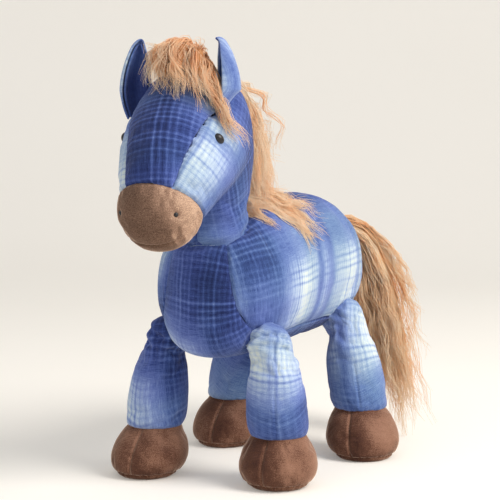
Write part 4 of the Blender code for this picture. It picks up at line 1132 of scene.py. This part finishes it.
def ear_leaf(name, side, depth, thickness, grow):
    """One layer of an ear: a cupped leaf whose tip curls over. It lies depth inside the outer layer's cup,
    and its half width is larger by grow."""
    sign = 1 if side == "left" else -1
    start = on_head(0.30, 0.40, sign * 0.80) + upwards * HEAD_DEPTH
    root, _ = where_it_meets([cheek_left, cheek_right, forehead], start, -upwards)
    facing = Matrix.Rotation(sign * EAR_FACING, 3, "Z") @ forwards
    outwards = facing.cross(upwards) * -sign
    fold = (outwards * math.cos(EAR_SETTING) - upwards * math.sin(EAR_SETTING)).normalized()
    stem = (upwards * math.cos(EAR_LEAN) + outwards * math.sin(EAR_LEAN)).normalized()
    curl_from, curl_radius = EAR_CURLS[side]
    cloth_u, cloth_v, cloth_way = EAR_CLOTH[side]
    form = bmesh.new()
    bmesh.ops.create_grid(form, x_segments=30, y_segments=44, size=1)
    flat = {}
    for vert in form.verts:
        share = (vert.co.y + 1) / 2
        half = leaf_half(side, share) + grow
        low = min(share / EAR_WIDEST, 1)
        wide = fold.lerp(outwards, low).normalized()
        cup = (EAR_ROOT_CUP + (EAR_CUPS[side] - EAR_ROOT_CUP) * low) / 2
        bend = half / math.sin(cup)
        flat[vert.index] = (cloth_u + vert.co.x * bend * cup, cloth_v + cloth_way * EAR_HEIGHT * share)
        radius = max(bend - depth, 0.0004)
        angle = cup * vert.co.x
        rolled = max(share - curl_from, 0) * EAR_HEIGHT / curl_radius
        up = EAR_HEIGHT * min(share, curl_from) + curl_radius * math.sin(rolled)
        on = curl_radius * (1 - math.cos(rolled))
        out = bend * math.cos(cup) - radius * math.cos(angle)
        place = root + stem * (up - out * math.sin(rolled)) + wide * (radius * math.sin(angle))
        place += facing * (on + out * math.cos(rolled))
        wave = noise.noise(place * 60) * 0.0010 * share
        vert.co = place + facing * wave
    bmesh.ops.recalc_face_normals(form, faces=form.faces)
    middle = sum((f.normal for f in form.faces), Vector())
    if middle.dot(facing) > 0:
        bmesh.ops.reverse_faces(form, faces=form.faces)
    grid = form.loops.layers.uv.new("UVMap")
    for face in form.faces:
        for loop in face.loops:
            loop[grid].uv = flat[loop.vert.index]
    leaf = object_of(name, form)
    wall = leaf.modifiers.new("wall", "SOLIDIFY")
    wall.thickness = thickness
    wall.offset = -1
    rolled = leaf.modifiers.new("rolled", "SUBSURF")
    rolled.levels = rolled.render_levels = 1
    return settle_modifiers(leaf)


# The lining is the same flannel with its tone dimmed to 0.55: painted shade for the inside of the cupped ear.
lining = plaid_flannel("ear_lining", 0.55)
for side in ("left", "right"):
    outer = ear_leaf(f"ear_{side}_cloth", side, 0, EAR_LAYER, 0)
    inner = ear_leaf(f"ear_{side}_lining_cloth", side, EAR_LAYER + EAR_GAP, EAR_LAYER, -0.0012)
    for leaf, finish, material_slot, node_name in (
        (outer, flannel, "plaid_flannel", f"ear_{side}_outer"),
        (inner, lining, "ear_lining", f"ear_{side}_lining"),
    ):
        leaf.data.materials.append(finish)
        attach(leaf, f"ear_{side}")
        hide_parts(node_name)


# --- Legs ------------------------------------------------------------------------------------------
# Four stuffed plaid sleeves, each gathered to a small round head that is sewn to the underside
# of the body, with a seam up the back and a short one over the toe, and a turned hem at the cuff.

HIP_RADIUS = 0.0205
CALF_RADIUS = 0.0262
CUFF_Z = 0.046
HIPS = {"front": (0.165, 0.09), "hind": (0.765, 0.112)}
HIP_SPREAD = 0.91
# Down the leg from the hip, then how much of the way from the hip's girth to the calf's.
LEG_GIRTHS = ((-0.001, 0.0), (0.12, 0.05), (0.25, 0.18), (0.52, 0.76), (0.78, 1.0), (1.0, 0.92))
# Where each sole lies from below its own hip: outwards and backwards.
FEET = {
    ("front", "left"): (0.002, 0.012),
    ("front", "right"): (0.014, -0.004),
    ("hind", "left"): (0.027, -0.014),
    ("hind", "right"): (0.010, -0.022),
}
LEG_GRID = 0.003


def leg_middle(end, side, z):
    """The middle of a leg at a height."""
    along, rise = HIPS[end]
    outwards, backwards = FEET[end, side]
    sign = 1 if side == "left" else -1
    hip = STAND + Vector((sign * TORSO_WIDTH / 2 * HIP_SPREAD, CHEST_Y + TORSO_LENGTH * along, 0))
    hip_z = BELLY_Z + TORSO_HEIGHT * rise
    slide = min(max((hip_z - z) / hip_z, 0), 1)
    return Vector((hip.x + sign * outwards * slide, hip.y + backwards * slide, z)), hip_z


def sleeve_form(end, side):
    """The sleeve as a closed form: a dome, the tapered tube, and a hem that turns in under the cuff."""
    _, hip_z = leg_middle(end, side, 0)
    form = bmesh.new()
    bmesh.ops.create_uvsphere(form, u_segments=48, v_segments=64, radius=1)
    shares, girths = zip(*LEG_GIRTHS)
    reach = hip_z - CUFF_Z
    dome = HIP_RADIUS * math.pi / 2
    whole = dome + reach + CALF_RADIUS
    for vert in form.verts:
        run = math.acos(min(max(vert.co.z, -1), 1)) / math.pi * whole
        turn = math.atan2(vert.co.y, vert.co.x)
        if run < dome:
            angle = run / HIP_RADIUS
            z, radius = hip_z + HIP_RADIUS * math.cos(angle), HIP_RADIUS * math.sin(angle)
        elif run < dome + reach:
            share = (run - dome) / reach
            z = hip_z - reach * share
            radius = HIP_RADIUS + (CALF_RADIUS - HIP_RADIUS) * float(curve_through(shares, girths, share))
        else:
            share = (run - dome - reach) / (whole - dome - reach)
            edge = HIP_RADIUS + (CALF_RADIUS - HIP_RADIUS) * girths[-1]
            z = CUFF_Z - 0.0006 * math.sin(math.pi * min(share * 4, 1)) + 0.004 * share
            radius = edge * (1 - share)
        middle, _ = leg_middle(end, side, z)
        tucked = min(max((z - hip_z + 0.020) / 0.030, 0), 1)
        middle.x -= (0.007 if side == "left" else -0.007) * tucked**2 * (3 - 2 * tucked)
        vert.co = middle + Vector((math.cos(turn), math.sin(turn), 0)) * radius
    return object_of(f"leg_{end}_{side}", close_up(form))


def gather(sleeve, end, side, seed):
    """Folds at the top of a sleeve, where it is drawn together: pleats that run down from the hip and die out."""
    points = points_of(sleeve.data)
    normals = normals_of(sleeve.data)
    _, hip_z = leg_middle(end, side, 0)
    moved = points.copy()
    for i, (point, normal) in enumerate(zip(points, normals)):
        middle, _ = leg_middle(end, side, point[2])
        way = Vector((point[0] - middle.x, point[1] - middle.y, 0))
        if way.length < 1e-5:
            continue
        turn = math.atan2(way.y, way.x)
        down = (hip_z + HIP_RADIUS - point[2]) / (hip_z - CUFF_Z)
        spot = Vector((math.cos(turn) * 1.6, math.sin(turn) * 1.6, seed * 7.3))
        lean = down * 2.2 * noise.noise(spot * 1.3)
        pleat = math.sin(turn * 9 + lean * 3 + seed * 2 + 2.2 * noise.noise(spot + Vector((0, 0, down * 3))))
        pleat = math.copysign(abs(pleat) ** 0.7, pleat)
        fade = math.exp(-((max(down - 0.16, 0) / 0.24) ** 2)) * min(down / 0.12, 1)
        roll = noise.noise(Vector((math.cos(turn), math.sin(turn), point[2] * 42 + seed * 5)) * 1.15)
        band = math.exp(-(((down - 0.42) / 0.22) ** 2))
        slack = noise.noise(Vector((way.x * 55, way.y * 55, point[2] * 70 + seed * 3)))
        moved[i] += normal * (0.0004 * pleat * fade + 0.0005 * roll * band + 0.0003 * slack * min(down, 1))
    move_points(sleeve.data, moved)


# For each sleeve: the way its short front seam faces in degrees, where that lies on the cloth at the
# knee, and how the cloth is turned.
LEG_CLOTH = {
    ("front", "left"): (-68, (0.2209, 0.1514), 92.2),
    ("front", "right"): (-95, (0.2148, 0.1843), -3.5),
    ("hind", "left"): (-66, (0.1681, 0.0855), -3.0),
    ("hind", "right"): (-80, (0.1988, 0.0443), -152.6),
}
# Folds at the top of each sleeve, as the way each point faces in degrees and its height in metres.
LEG_FOLDS = {
    ("front", "left"): (
        ((-152, 0.129), (-125, 0.136), (-95, 0.140), (-60, 0.141), (-20, 0.137), (10, 0.133)),
        ((-150, 0.122), (-125, 0.126), (-95, 0.131), (-66, 0.132)),
        ((-148, 0.115), (-120, 0.117), (-96, 0.121)),
        ((-40, 0.129), (-10, 0.125), (25, 0.126)),
        ((60, 0.128), (100, 0.122), (140, 0.124)),
    ),
    ("front", "right"): (
        ((-160, 0.139), (-120, 0.137), (-80, 0.131), (-40, 0.129), (-10, 0.132)),
        ((-150, 0.128), (-115, 0.124), (-80, 0.120)),
        ((-60, 0.121), (-30, 0.117), (0, 0.121)),
        ((60, 0.128), (100, 0.122), (140, 0.124)),
    ),
    ("hind", "left"): (
        ((-155, 0.142), (-125, 0.141), (-95, 0.137), (-68, 0.133)),
        ((-152, 0.133), (-125, 0.131), (-98, 0.127)),
        ((-150, 0.122), (-128, 0.120), (-102, 0.120)),
        ((-40, 0.141), (-10, 0.137), (25, 0.136)),
        ((70, 0.132), (105, 0.127), (140, 0.130)),
    ),
    ("hind", "right"): (
        ((-150, 0.138), (-115, 0.133), (-80, 0.131), (-50, 0.133)),
        ((-80, 0.122), (-50, 0.119), (-20, 0.122)),
        ((40, 0.131), (80, 0.126), (120, 0.130)),
    ),
}


def on_sleeve(surface, end, side, turn, height):
    """The place on a sleeve's cloth that faces turn degrees at a height."""
    middle, _ = leg_middle(end, side, height)
    way = Vector((math.cos(math.radians(turn)), math.sin(math.radians(turn)), 0))
    return surface.ray_cast(middle + way * 0.006, way)[0] or middle + way * CALF_RADIUS


def point_bands(panel, start, reach, amount):
    """Shifts the pattern so that its bands dip to a point at the seam, less and less from start over reach."""
    flat = flat_pattern(panel.data)
    fade = np.clip((start - flat[:, 1]) / reach, 0, 1)
    flat[:, 1] -= amount * fade * np.minimum(np.abs(flat[:, 0]), 0.03)
    set_pattern(panel.data, flat)


for count, (end, side) in enumerate(FEET):
    sleeve = sleeve_form(end, side)
    even_cloth(sleeve, LEG_GRID)
    gather(sleeve, end, side, count + 1)
    _, hip_z = leg_middle(end, side, 0)
    heights = points_of(sleeve.data)[:, 2]
    held = np.maximum((heights - hip_z - 0.006) / 0.008, 1.2 - (heights - CUFF_Z) / 0.006)
    stuff(sleeve, np.clip(held, 0, 1), 0.05, 0.0035)
    middle, _ = leg_middle(end, side, 0.09)
    form = form_from(sleeve)
    lean = leg_middle(end, side, 0.02)[0] - leg_middle(end, side, 0.12)[0]
    across_leg = lean.cross(Vector((0, 1, 0))).normalized()
    cut_line(form, lambda c: (c - leg_middle(end, side, c.z)[0]).y > 0, middle, across_leg)

    def at_back(vert):
        behind = vert.co - leg_middle(end, side, vert.co.z)[0]
        return abs((vert.co - middle).dot(across_leg)) < 1e-5 and behind.y > 0

    seam = [e for e in form.edges if all(at_back(v) for v in e.verts)]
    bmesh.ops.split_edges(form, edges=seam)
    for face in form.faces:
        face.material_index = 0
    put_back(form, sleeve)
    flatten_cloth(sleeve)
    smaller_squares(sleeve, 2)
    sleeve.name = f"leg_cloth_{end}_{side}"
    facing, cloth_at, turned = LEG_CLOTH[end, side]
    surface = surface_of([sleeve])
    front = on_sleeve(surface, end, side, facing, 0.085)
    lay_cloth(sleeve, front, on_sleeve(surface, end, side, facing, 0.105), (0, 0))
    point_bands(sleeve, 0.010, 0.020, 0.26)
    turn_cloth(sleeve, cloth_at, turned)
    draw_seams(sleeve)
    surface = surface_of([sleeve])
    ring = ring_where([sleeve], torso_cloth, lambda h: leg_middle(end, side, h)[0], hip_z - 0.03, hip_z + 0.016)
    for order, fold in enumerate(LEG_FOLDS[end, side]):
        line = [on_sleeve(surface, end, side, *spot) for spot in fold]
        press_in(sleeve, line, 0.0016 if order else 0.0032, 0.0024)
    low_seam = [on_sleeve(surface, end, side, facing, z) for z in (0.094, 0.085, 0.075, 0.066, 0.058, 0.051, 0.047)]
    press_in(sleeve, low_seam, 0.0006, 0.0011)
    if len(ring) > 12:
        for panel in (sleeve, *torso_cloth):
            press_in(panel, ring, 0.0018, 0.0032, fade=False)
    wear(sleeve, flannel)
    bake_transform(sleeve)
    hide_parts(f"leg_sleeve_{end}_{side}", f"leg_fill_{end}_{side}")


# --- Hooves ----------------------------------------------------------------------------------------
# Two halves of velour joined up the toe and the heel, and an oval sole, packed hard so that they
# bulge over the sole's seam. The top is drawn in and sewn inside the leg's hem.

HOOF_RADIUS = 0.0345
HOOF_TOE = 0.006
HOOF_TUCK = 0.009
SOLE_RADIUS = 0.0265
SOLE_THICKNESS = 0.0042
# Up from the sole's seam to the cuff, then how much of the way to the widest girth.
HOOF_GIRTHS = ((0.0, 0.40), (0.13, 0.82), (0.36, 1.0), (0.64, 0.80), (0.88, 0.34))


def hoof_form(end, side):
    """The whole hoof as one closed form from the middle of its sole to the tuck inside the leg."""
    tucked = HIP_RADIUS + (CALF_RADIUS - HIP_RADIUS) * LEG_GIRTHS[-1][1] - 0.0027
    table = [(0.0, 0.0), (0.0, SOLE_RADIUS * 0.6), (0.0, SOLE_RADIUS - 0.0018), (0.0016, SOLE_RADIUS)]
    for share, wide in HOOF_GIRTHS:
        base = SOLE_RADIUS if share < 0.5 else tucked
        table.append((SOLE_THICKNESS + (CUFF_Z - SOLE_THICKNESS) * share, base + (HOOF_RADIUS - base) * wide))
    table += [(CUFF_Z, tucked), (CUFF_Z + HOOF_TUCK, tucked - 0.001), (CUFF_Z + HOOF_TUCK, 0.0)]
    runs = np.cumsum([0] + [math.dist(a, b) for a, b in zip(table, table[1:])])
    steps = np.linspace(0, runs[-1], 60)
    zs = np.interp(steps, runs, [t[0] for t in table])
    rs = np.interp(steps, runs, [t[1] for t in table])
    form = bmesh.new()
    bmesh.ops.create_uvsphere(form, u_segments=72, v_segments=59, radius=1)
    for vert in form.verts:
        share = math.acos(min(max(-vert.co.z, -1), 1)) / math.pi * (len(steps) - 1)
        z, radius = (float(np.interp(share, range(len(steps)), column)) for column in (zs, rs))
        turn = math.atan2(vert.co.y, vert.co.x)
        toe = max(1 - max(z - SOLE_THICKNESS, 0) / (CUFF_Z - SOLE_THICKNESS), 0)
        middle, _ = leg_middle(end, side, z)
        stretch = 1 + 0.05 * toe * max(-math.sin(turn), 0)
        vert.co = middle + Vector((math.cos(turn), math.sin(turn) * stretch, 0)) * radius
        vert.co += Vector((0, -HOOF_TOE * toe, 0))
    return object_of(f"hoof_{end}_{side}", close_up(form))


# The last number is the share of painted light on the hooves' side that faces the lamp.
hoof_velour = short_velour("hoof_velour", "412720", "5b3a2c", "8f6854", "c39d87", 34, 0.52, 0.13)
for end, side in FEET:
    hoof = hoof_form(end, side)
    even_cloth(hoof, LEG_GRID, passes=3)
    middle = leg_middle(end, side, 0.02)[0]
    shape = points_of(hoof.data)
    centres = np.array([leg_middle(end, side, z)[0] for z in shape[:, 2]])
    off = np.minimum(np.abs(shape[:, 0] - centres[:, 0]), np.abs(shape[:, 2] - SOLE_THICKNESS))
    held = np.maximum(1.35 - off / 0.0035, (shape[:, 2] - CUFF_Z + 0.002) / 0.003)
    held = np.maximum(held, (SOLE_THICKNESS - shape[:, 2]) / 0.002)
    stuff(hoof, np.clip(held, 0, 1), 0.02, 0.0025)
    form = form_from(hoof)
    for vert in form.verts:
        vert.co.x -= leg_middle(end, side, vert.co.z)[0].x
    cut_line(form, lambda c: c.z > SOLE_THICKNESS - 0.002, (0, 0, 0), (1, 0, 0))
    cut_line(form, lambda c: c.z < SOLE_THICKNESS + 0.004, (0, 0, SOLE_THICKNESS), (0, 0, 1))
    sign = 1 if side == "left" else -1
    part_panels(form, lambda c: 2 if c.z < SOLE_THICKNESS else (0 if c.x * sign > 0 else 1))
    for vert in form.verts:
        vert.co.x += leg_middle(end, side, vert.co.z)[0].x
    put_back(form, hoof)
    smaller_squares(hoof, 2)
    parts = take_panels(hoof, [f"hoof_{part}_velour_{end}_{side}" for part in ("outer", "inner", "sole")])
    for part, nodes in zip(parts, (("hoof_outer", "hoof_fill"), ("hoof_inner",), ("hoof_sole",))):
        draw_seams(part, depth=0.0016, reach=0.0015, puff=0.0012, pucker=0.0006)
        low = points_of(part.data)
        low[:, 2] = np.maximum(low[:, 2], 0)
        move_points(part.data, low)
        wear(part, hoof_velour)
        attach(part, f"leg_{end}_{side}")
        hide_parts(*[f"{name}_{end}_{side}" for name in nodes])


# --- Mane, forelock and tail ---------------------------------------------------------------------
# Strips of long camel pile sewn into the crest, the poll and the dock. The pile falls in wavy
# locks that part into wisps at their ends, over a shorter, denser undercoat.

WISP = 13
LOWEST_STRAND = 0.0015


def lift_off(points, surface, clear):
    """Moves points that lie in the cloth, or nearer than clear, out of it."""
    for i, point in enumerate(points):
        near, normal, _, away = surface.find_nearest(Vector(point))
        if near is None:
            continue
        height = (Vector(point) - near).dot(normal)
        if height < clear and away < 0.03:
            points[i] = near + normal * clear
    return points


def guide_frame(guide, shares):
    """Points, ways ahead, across and off a lock's middle line at those shares of its length."""
    line = np.array(guide, float) / 1000
    runs = np.concatenate([[0], np.cumsum(np.linalg.norm(np.diff(line, axis=0), axis=1))])
    knots = runs / runs[-1]
    inside = np.clip(shares, 0, 1)
    path = np.stack([curve_through(knots, line[:, k], inside) for k in range(3)], 1)
    ahead = np.stack([curve_through(knots, line[:, k], np.clip(inside + 0.01, 0, 1)) for k in range(3)], 1)
    behind = np.stack([curve_through(knots, line[:, k], np.clip(inside - 0.01, 0, 1)) for k in range(3)], 1)
    way = ahead - behind
    way /= np.maximum(np.linalg.norm(way, axis=1), 1e-9)[:, None]
    path += way * np.maximum(shares - 1, 0)[:, None] * runs[-1]
    return path, way, runs[-1]


def comb_lock(rng, guide, flat, wide, thick, count, wave=0.0028, fray=0.006, points=13, ends=(0.72, 1.08)):
    """The strands of one lock, in wisps of a dozen or so that wave together."""
    strands = []
    shares = np.linspace(0, 1, points)
    flat = np.array(flat, float)
    for _ in range(max(count // WISP, 1)):
        turn, out = rng.uniform(0, 2 * math.pi), math.sqrt(rng.uniform(0, 1))
        wisp = np.array([out * math.cos(turn), out * math.sin(turn)])
        phase = rng.uniform(0, 2 * math.pi, 2)
        length = rng.uniform(0.026, 0.046)
        reach = rng.uniform(*ends)
        shade = rng.uniform(-0.16, 0.16)
        drift = rng.normal(0, 1, 3) * fray * (0.3 + 0.7 * out)
        for _ in range(WISP):
            own = wisp * rng.uniform(0.85, 1.1) + rng.normal(0, 0.13, 2)
            stop = reach * rng.uniform(0.86, 1.04)
            path, way, run = guide_frame(guide, shares * stop)
            across = flat - way * (way @ flat)[:, None]
            across /= np.maximum(np.linalg.norm(across, axis=1), 1e-9)[:, None]
            off = np.cross(way, across)
            open_out = (0.55 + 0.55 * np.sin(np.pi * np.clip(shares * 0.8 + 0.05, 0, 1)))[:, None]
            near = (1 - 0.35 * shares)[:, None]
            place = path + across * (own[0] * wide / 2 * open_out * near)
            place = place + off * (own[1] * thick / 2 * open_out * near)
            curl = 2 * math.pi * shares * stop * run / length
            size = (wave * shares**0.8 * rng.uniform(0.8, 1.2))[:, None]
            wavy, wavy_off = np.sin(curl + phase[0])[:, None], np.cos(curl + phase[1])[:, None]
            place += across * (wavy * size) + off * (wavy_off * size * 0.7)
            stray = rng.normal(0, 1, 3) * 0.0022
            place += (drift + stray) * (shares**1.6)[:, None]
            thin = rng.uniform(0.26, 0.42) * (1 - 0.80 * shares**1.7)
            strands.append((place, thin, shade + rng.uniform(-0.10, 0.10)))
    return strands


def undercoat(guide, flat, wide, thick, stop=0.86):
    """The dense short pile in the middle of a lock, as one tapered form along it."""
    form = bmesh.new()
    bmesh.ops.create_uvsphere(form, u_segments=16, v_segments=24, radius=1)
    flat = np.array(flat, float)
    for vert in form.verts:
        share = math.acos(min(max(-vert.co.z, -1), 1)) / math.pi
        turn = math.atan2(vert.co.y, vert.co.x)
        path, way, _ = guide_frame(guide, np.array([share * stop]))
        way = way[0]
        across = flat - way * (way @ flat)
        across /= np.linalg.norm(across)
        off = np.cross(way, across)
        size = math.sin(math.pi * share) ** 0.6 * (1 - 0.62 * share)
        ridge = 1 + 0.16 * math.sin(turn * 7 + share * 3)
        sideways = across * (math.cos(turn) * wide / 2 * size * ridge)
        vert.co = Vector(path[0] + sideways + off * (math.sin(turn) * thick / 2 * size * ridge))
    bmesh.ops.recalc_face_normals(form, faces=form.faces)
    return form


def grow_pile(name, rng, locks, surface, deepen=0.0, clear=0.0006, under=0.85):
    """One piece of pile from its locks: the strands as fine tapered threads, and the undercoat below them."""
    curve = bpy.data.curves.new(name, "CURVE")
    curve.dimensions = "3D"
    curve.bevel_depth = 0.001
    curve.bevel_resolution = 0
    tones = []
    for guide, flat, wide, thick, count, *more in locks:
        for place, thin, shade in comb_lock(rng, guide, flat, wide, thick, count, *more):
            lifted = lift_off([Vector(p) for p in place], surface, clear + thin[0] * 0.001)
            place = np.array([list(p) for p in lifted])
            place[:, 2] = np.maximum(place[:, 2], LOWEST_STRAND)
            spline = curve.splines.new("POLY")
            spline.points.add(len(place) - 1)
            spline.points.foreach_set("co", np.hstack([place, np.ones((len(place), 1))]).ravel())
            spline.points.foreach_set("radius", thin)
            # Painted shade: each strand is darker at its root than at its tip, the more so by deepen, and its tone
            # also differs at random by wisp.
            tones.append(shade + 0.46 - deepen + (0.24 + deepen) * np.linspace(0, 1, len(place)))
    holder = bpy.data.objects.new(name, curve)
    scene.collection.objects.link(holder)
    bpy.context.view_layer.update()
    shown = holder.evaluated_get(bpy.context.evaluated_depsgraph_get())
    mesh = bpy.data.meshes.new_from_object(shown)
    bpy.data.objects.remove(holder)
    per_point = len(mesh.vertices) // sum(len(t) for t in tones)
    values = np.repeat(np.concatenate(tones), per_point)
    form = bmesh.new()
    form.from_mesh(mesh)
    tone = form.verts.layers.float.new("tone")
    form.verts.ensure_lookup_table()
    for vert, value in zip(form.verts, values):
        vert[tone] = float(value)
    for guide, flat, wide, thick, count, *more in locks:
        if count < 80:
            continue
        core = undercoat(guide, flat, wide * under, thick * under)
        part = bpy.data.meshes.new("core")
        core.to_mesh(part)
        core.free()
        start = len(form.verts)
        form.from_mesh(part)
        form.verts.ensure_lookup_table()
        for vert in form.verts[start:]:
            # Painted shade: the undercoat inside the lock takes the dark tone of the shaded roots, with a random
            # speckle.
            vert[tone] = 0.40 - deepen + 0.16 * noise.noise(vert.co * 190)
    obj = object_of(name, form)
    return obj


def camel_pile(name, dyes):
    """Pile from the dyes of its shaded roots to those of its lit tips, which lets some light through."""
    material, node, join = new_material(name)
    tone = node("ShaderNodeAttribute", attribute_name="tone")
    where = node("ShaderNodeTexCoord")
    cloud = node("ShaderNodeTexNoise", {"Scale": 55, "Detail": 3})
    join(where.outputs["Object"], cloud.inputs["Vector"])
    shift = node("ShaderNodeMath", {1: 0.36, 2: -0.18}, operation="MULTIPLY_ADD")
    join(cloud.outputs["Fac"], shift.inputs[0])
    both = node("ShaderNodeMath", operation="ADD")
    join(shift.outputs[0], both.inputs[0])
    join(tone.outputs["Fac"], both.inputs[1])
    colour = ramp_of(node, zip((0.0, 0.18, 0.42, 0.62, 0.90), dyes), "LINEAR", True)
    join(both.outputs[0], colour.inputs[0])
    through = node("ShaderNodeBsdfTranslucent")
    strand = node("ShaderNodeMixShader", {0: 0.45})
    surface = node("ShaderNodeBsdfPrincipled", {
        "Roughness": 0.55, "Specular IOR Level": 0.25, "Sheen Weight": 0.25, "Sheen Roughness": 0.4,
        "Sheen Tint": dye("ffe6c8"),
    })
    ending = node("ShaderNodeOutputMaterial")
    join(colour.outputs[0], surface.inputs["Base Color"])
    join(colour.outputs[0], through.inputs["Color"])
    join(surface.outputs[0], strand.inputs[1])
    join(through.outputs[0], strand.inputs[2])
    join(strand.outputs[0], ending.inputs[0])
    return material


# Each lock: its middle line from the root in millimetres, the way its flat side runs, its width and
# thickness in metres, and how many strands it has.
NECK_FLAT = (0.6, 0.8, 0.0)
CREST_FLAT = (1, 0.1, 0)
WITHERS_FLAT = (0.3, 0.3, 0.9)
BROW_FLAT = (1, 0, 0)
TAIL_FLAT = (1, -0.4, 0)
UPPER_LOCKS = (
    (
        ((-2, -116, 370), (13, -96, 361), (23, -76, 338), (25, -63, 304), (27, -57, 258)),
        NECK_FLAT, 0.026, 0.014, 338,
    ),
    (
        ((-8, -98, 366), (5, -74, 354), (15, -54, 333), (18, -42, 300), (22, -36, 254)),
        NECK_FLAT, 0.030, 0.016, 351,
    ),
    (
        ((-12, -80, 361), (0, -58, 343), (9, -38, 321), (13, -26, 292), (15, -18, 247)),
        NECK_FLAT, 0.026, 0.015, 273,
    ),
    (
        ((-2, -108, 368), (12, -74, 356), (22, -38, 340), (27, -14, 316), (30, 0, 295)),
        NECK_FLAT, 0.018, 0.010, 52, 0.006, 0.012,
    ),
    (((-7, -62, 322), (4, -44, 300), (12, -28, 272), (18, -16, 248)), NECK_FLAT, 0.030, 0.016, 260),
    (
        ((-8, -90, 360), (-10, -62, 345), (-9, -44, 315), (-6, -36, 280)),
        CREST_FLAT, 0.034, 0.014, 195,
    ),
)
LOWER_LOCKS = (
    (
        ((-5, -52, 278), (9, -30, 260), (23, -8, 248), (37, 10, 240), (50, 20, 231)),
        WITHERS_FLAT, 0.026, 0.011, 338,
    ),
    (
        ((-2, -50, 265), (13, -34, 252), (26, -18, 241), (39, -4, 231), (50, 6, 218)),
        WITHERS_FLAT, 0.024, 0.011, 299,
    ),
    (
        ((-6, -42, 262), (6, -20, 259), (18, 4, 251), (31, 24, 241)),
        WITHERS_FLAT, 0.024, 0.011, 221,
    ),
    (
        ((0, -60, 262), (13, -53, 252), (25, -47, 243), (34, -40, 233)),
        WITHERS_FLAT, 0.020, 0.009, 143,
    ),
    (((-8, -44, 268), (-4, -24, 260), (4, -4, 256), (12, 18, 252)), CREST_FLAT, 0.026, 0.011, 182),
)
FORE_LOCKS = (
    (
        ((-10, -120, 366), (-15, -133, 387), (-18, -147, 389), (-18, -159, 379), (-12, -169, 362)),
        BROW_FLAT, 0.018, 0.016, 234, 0.004, 0.004,
    ),
    (
        ((-8, -120, 368), (-6, -135, 390), (-7, -151, 391), (-4, -166, 379), (4, -176, 358)),
        BROW_FLAT, 0.020, 0.018, 260, 0.004, 0.004,
    ),
    (
        ((-4, -120, 368), (3, -137, 389), (6, -154, 391), (11, -169, 377), (20, -175, 357)),
        BROW_FLAT, 0.020, 0.018, 260, 0.004, 0.004,
    ),
    (
        ((0, -120, 368), (11, -136, 386), (19, -151, 386), (27, -163, 371), (36, -165, 351)),
        (1, 0, 0.2), 0.018, 0.014, 234, 0.003, 0.004,
    ),
    (
        ((4, -121, 368), (16, -137, 383), (28, -150, 371), (38, -155, 351), (47, -150, 330), (53, -141, 314)),
        (0.8, 0, 0.5), 0.013, 0.009, 182, 0.0026, 0.003,
    ),
    (
        ((5, -121, 368), (17, -132, 379), (31, -145, 361), (42, -149, 340), (50, -146, 321)),
        (0.8, 0, 0.5), 0.011, 0.008, 117, 0.0026, 0.003,
    ),
    (
        ((-11, -116, 367), (-15, -126, 384), (-18, -138, 386), (-19, -149, 378)),
        BROW_FLAT, 0.018, 0.016, 156, 0.004, 0.004,
    ),
    (
        ((-4, -117, 367), (0, -127, 384), (5, -141, 387), (12, -154, 379)),
        BROW_FLAT, 0.020, 0.016, 156, 0.004, 0.004,
    ),
)
TAIL_LOCKS = (
    (
        ((-5, 150, 218), (14, 173, 213), (35, 183, 176), (53, 182, 120), (67, 184, 68), (76, 180, 24)),
        TAIL_FLAT, 0.034, 0.024, 390, 0.0045, 0.008,
    ),
    (
        ((-4, 150, 220), (23, 170, 214), (47, 180, 174), (66, 184, 115), (81, 178, 65), (92, 178, 30)),
        TAIL_FLAT, 0.034, 0.022, 416, 0.0050, 0.009,
    ),
    (
        ((-6, 151, 215), (7, 180, 206), (29, 192, 161), (45, 198, 101), (61, 193, 43)),
        TAIL_FLAT, 0.034, 0.020, 325, 0.0045, 0.008,
    ),
    (
        ((-4, 151, 221), (24, 172, 218), (53, 181, 190), (75, 184, 150), (86, 180, 112)),
        TAIL_FLAT, 0.018, 0.012, 117, 0.0055, 0.012,
    ),
    (
        ((-6, 150, 213), (10, 168, 202), (26, 175, 154), (41, 178, 98), (55, 175, 48)),
        TAIL_FLAT, 0.028, 0.020, 221, 0.0045, 0.008,
    ),
)
pile = camel_pile("camel_pile", ("b26e3a", "e0a46e", "ffd6aa", "ffe8ca", "fff4e4"))
tail_pile = camel_pile("tail_pile", ("bf6a30", "ee9a56", "ffc98e", "ffe0b6", "fff0d8"))
hide = surface_of([gusset, side_left, side_right, forehead, cheek_left, cheek_right])
for count, (name, node_name, locks, body, deepen) in enumerate((
    ("mane_upper_pile", "mane_upper", UPPER_LOCKS, "head", -0.26),
    ("mane_lower_pile", "mane_lower", LOWER_LOCKS, "torso", -0.16),
    ("forelock_pile", "forelock", FORE_LOCKS, "head", 0.28),
    ("tail_pile", "tail", TAIL_LOCKS, "tail", -0.20),
)):
    hair = grow_pile(name, np.random.default_rng(40 + count), locks, hide, deepen)
    hair.data.materials.append(tail_pile if body == "tail" else pile)
    if name == "mane_upper_pile":
        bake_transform(hair)
    else:
        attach(hair, body)
    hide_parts(node_name)
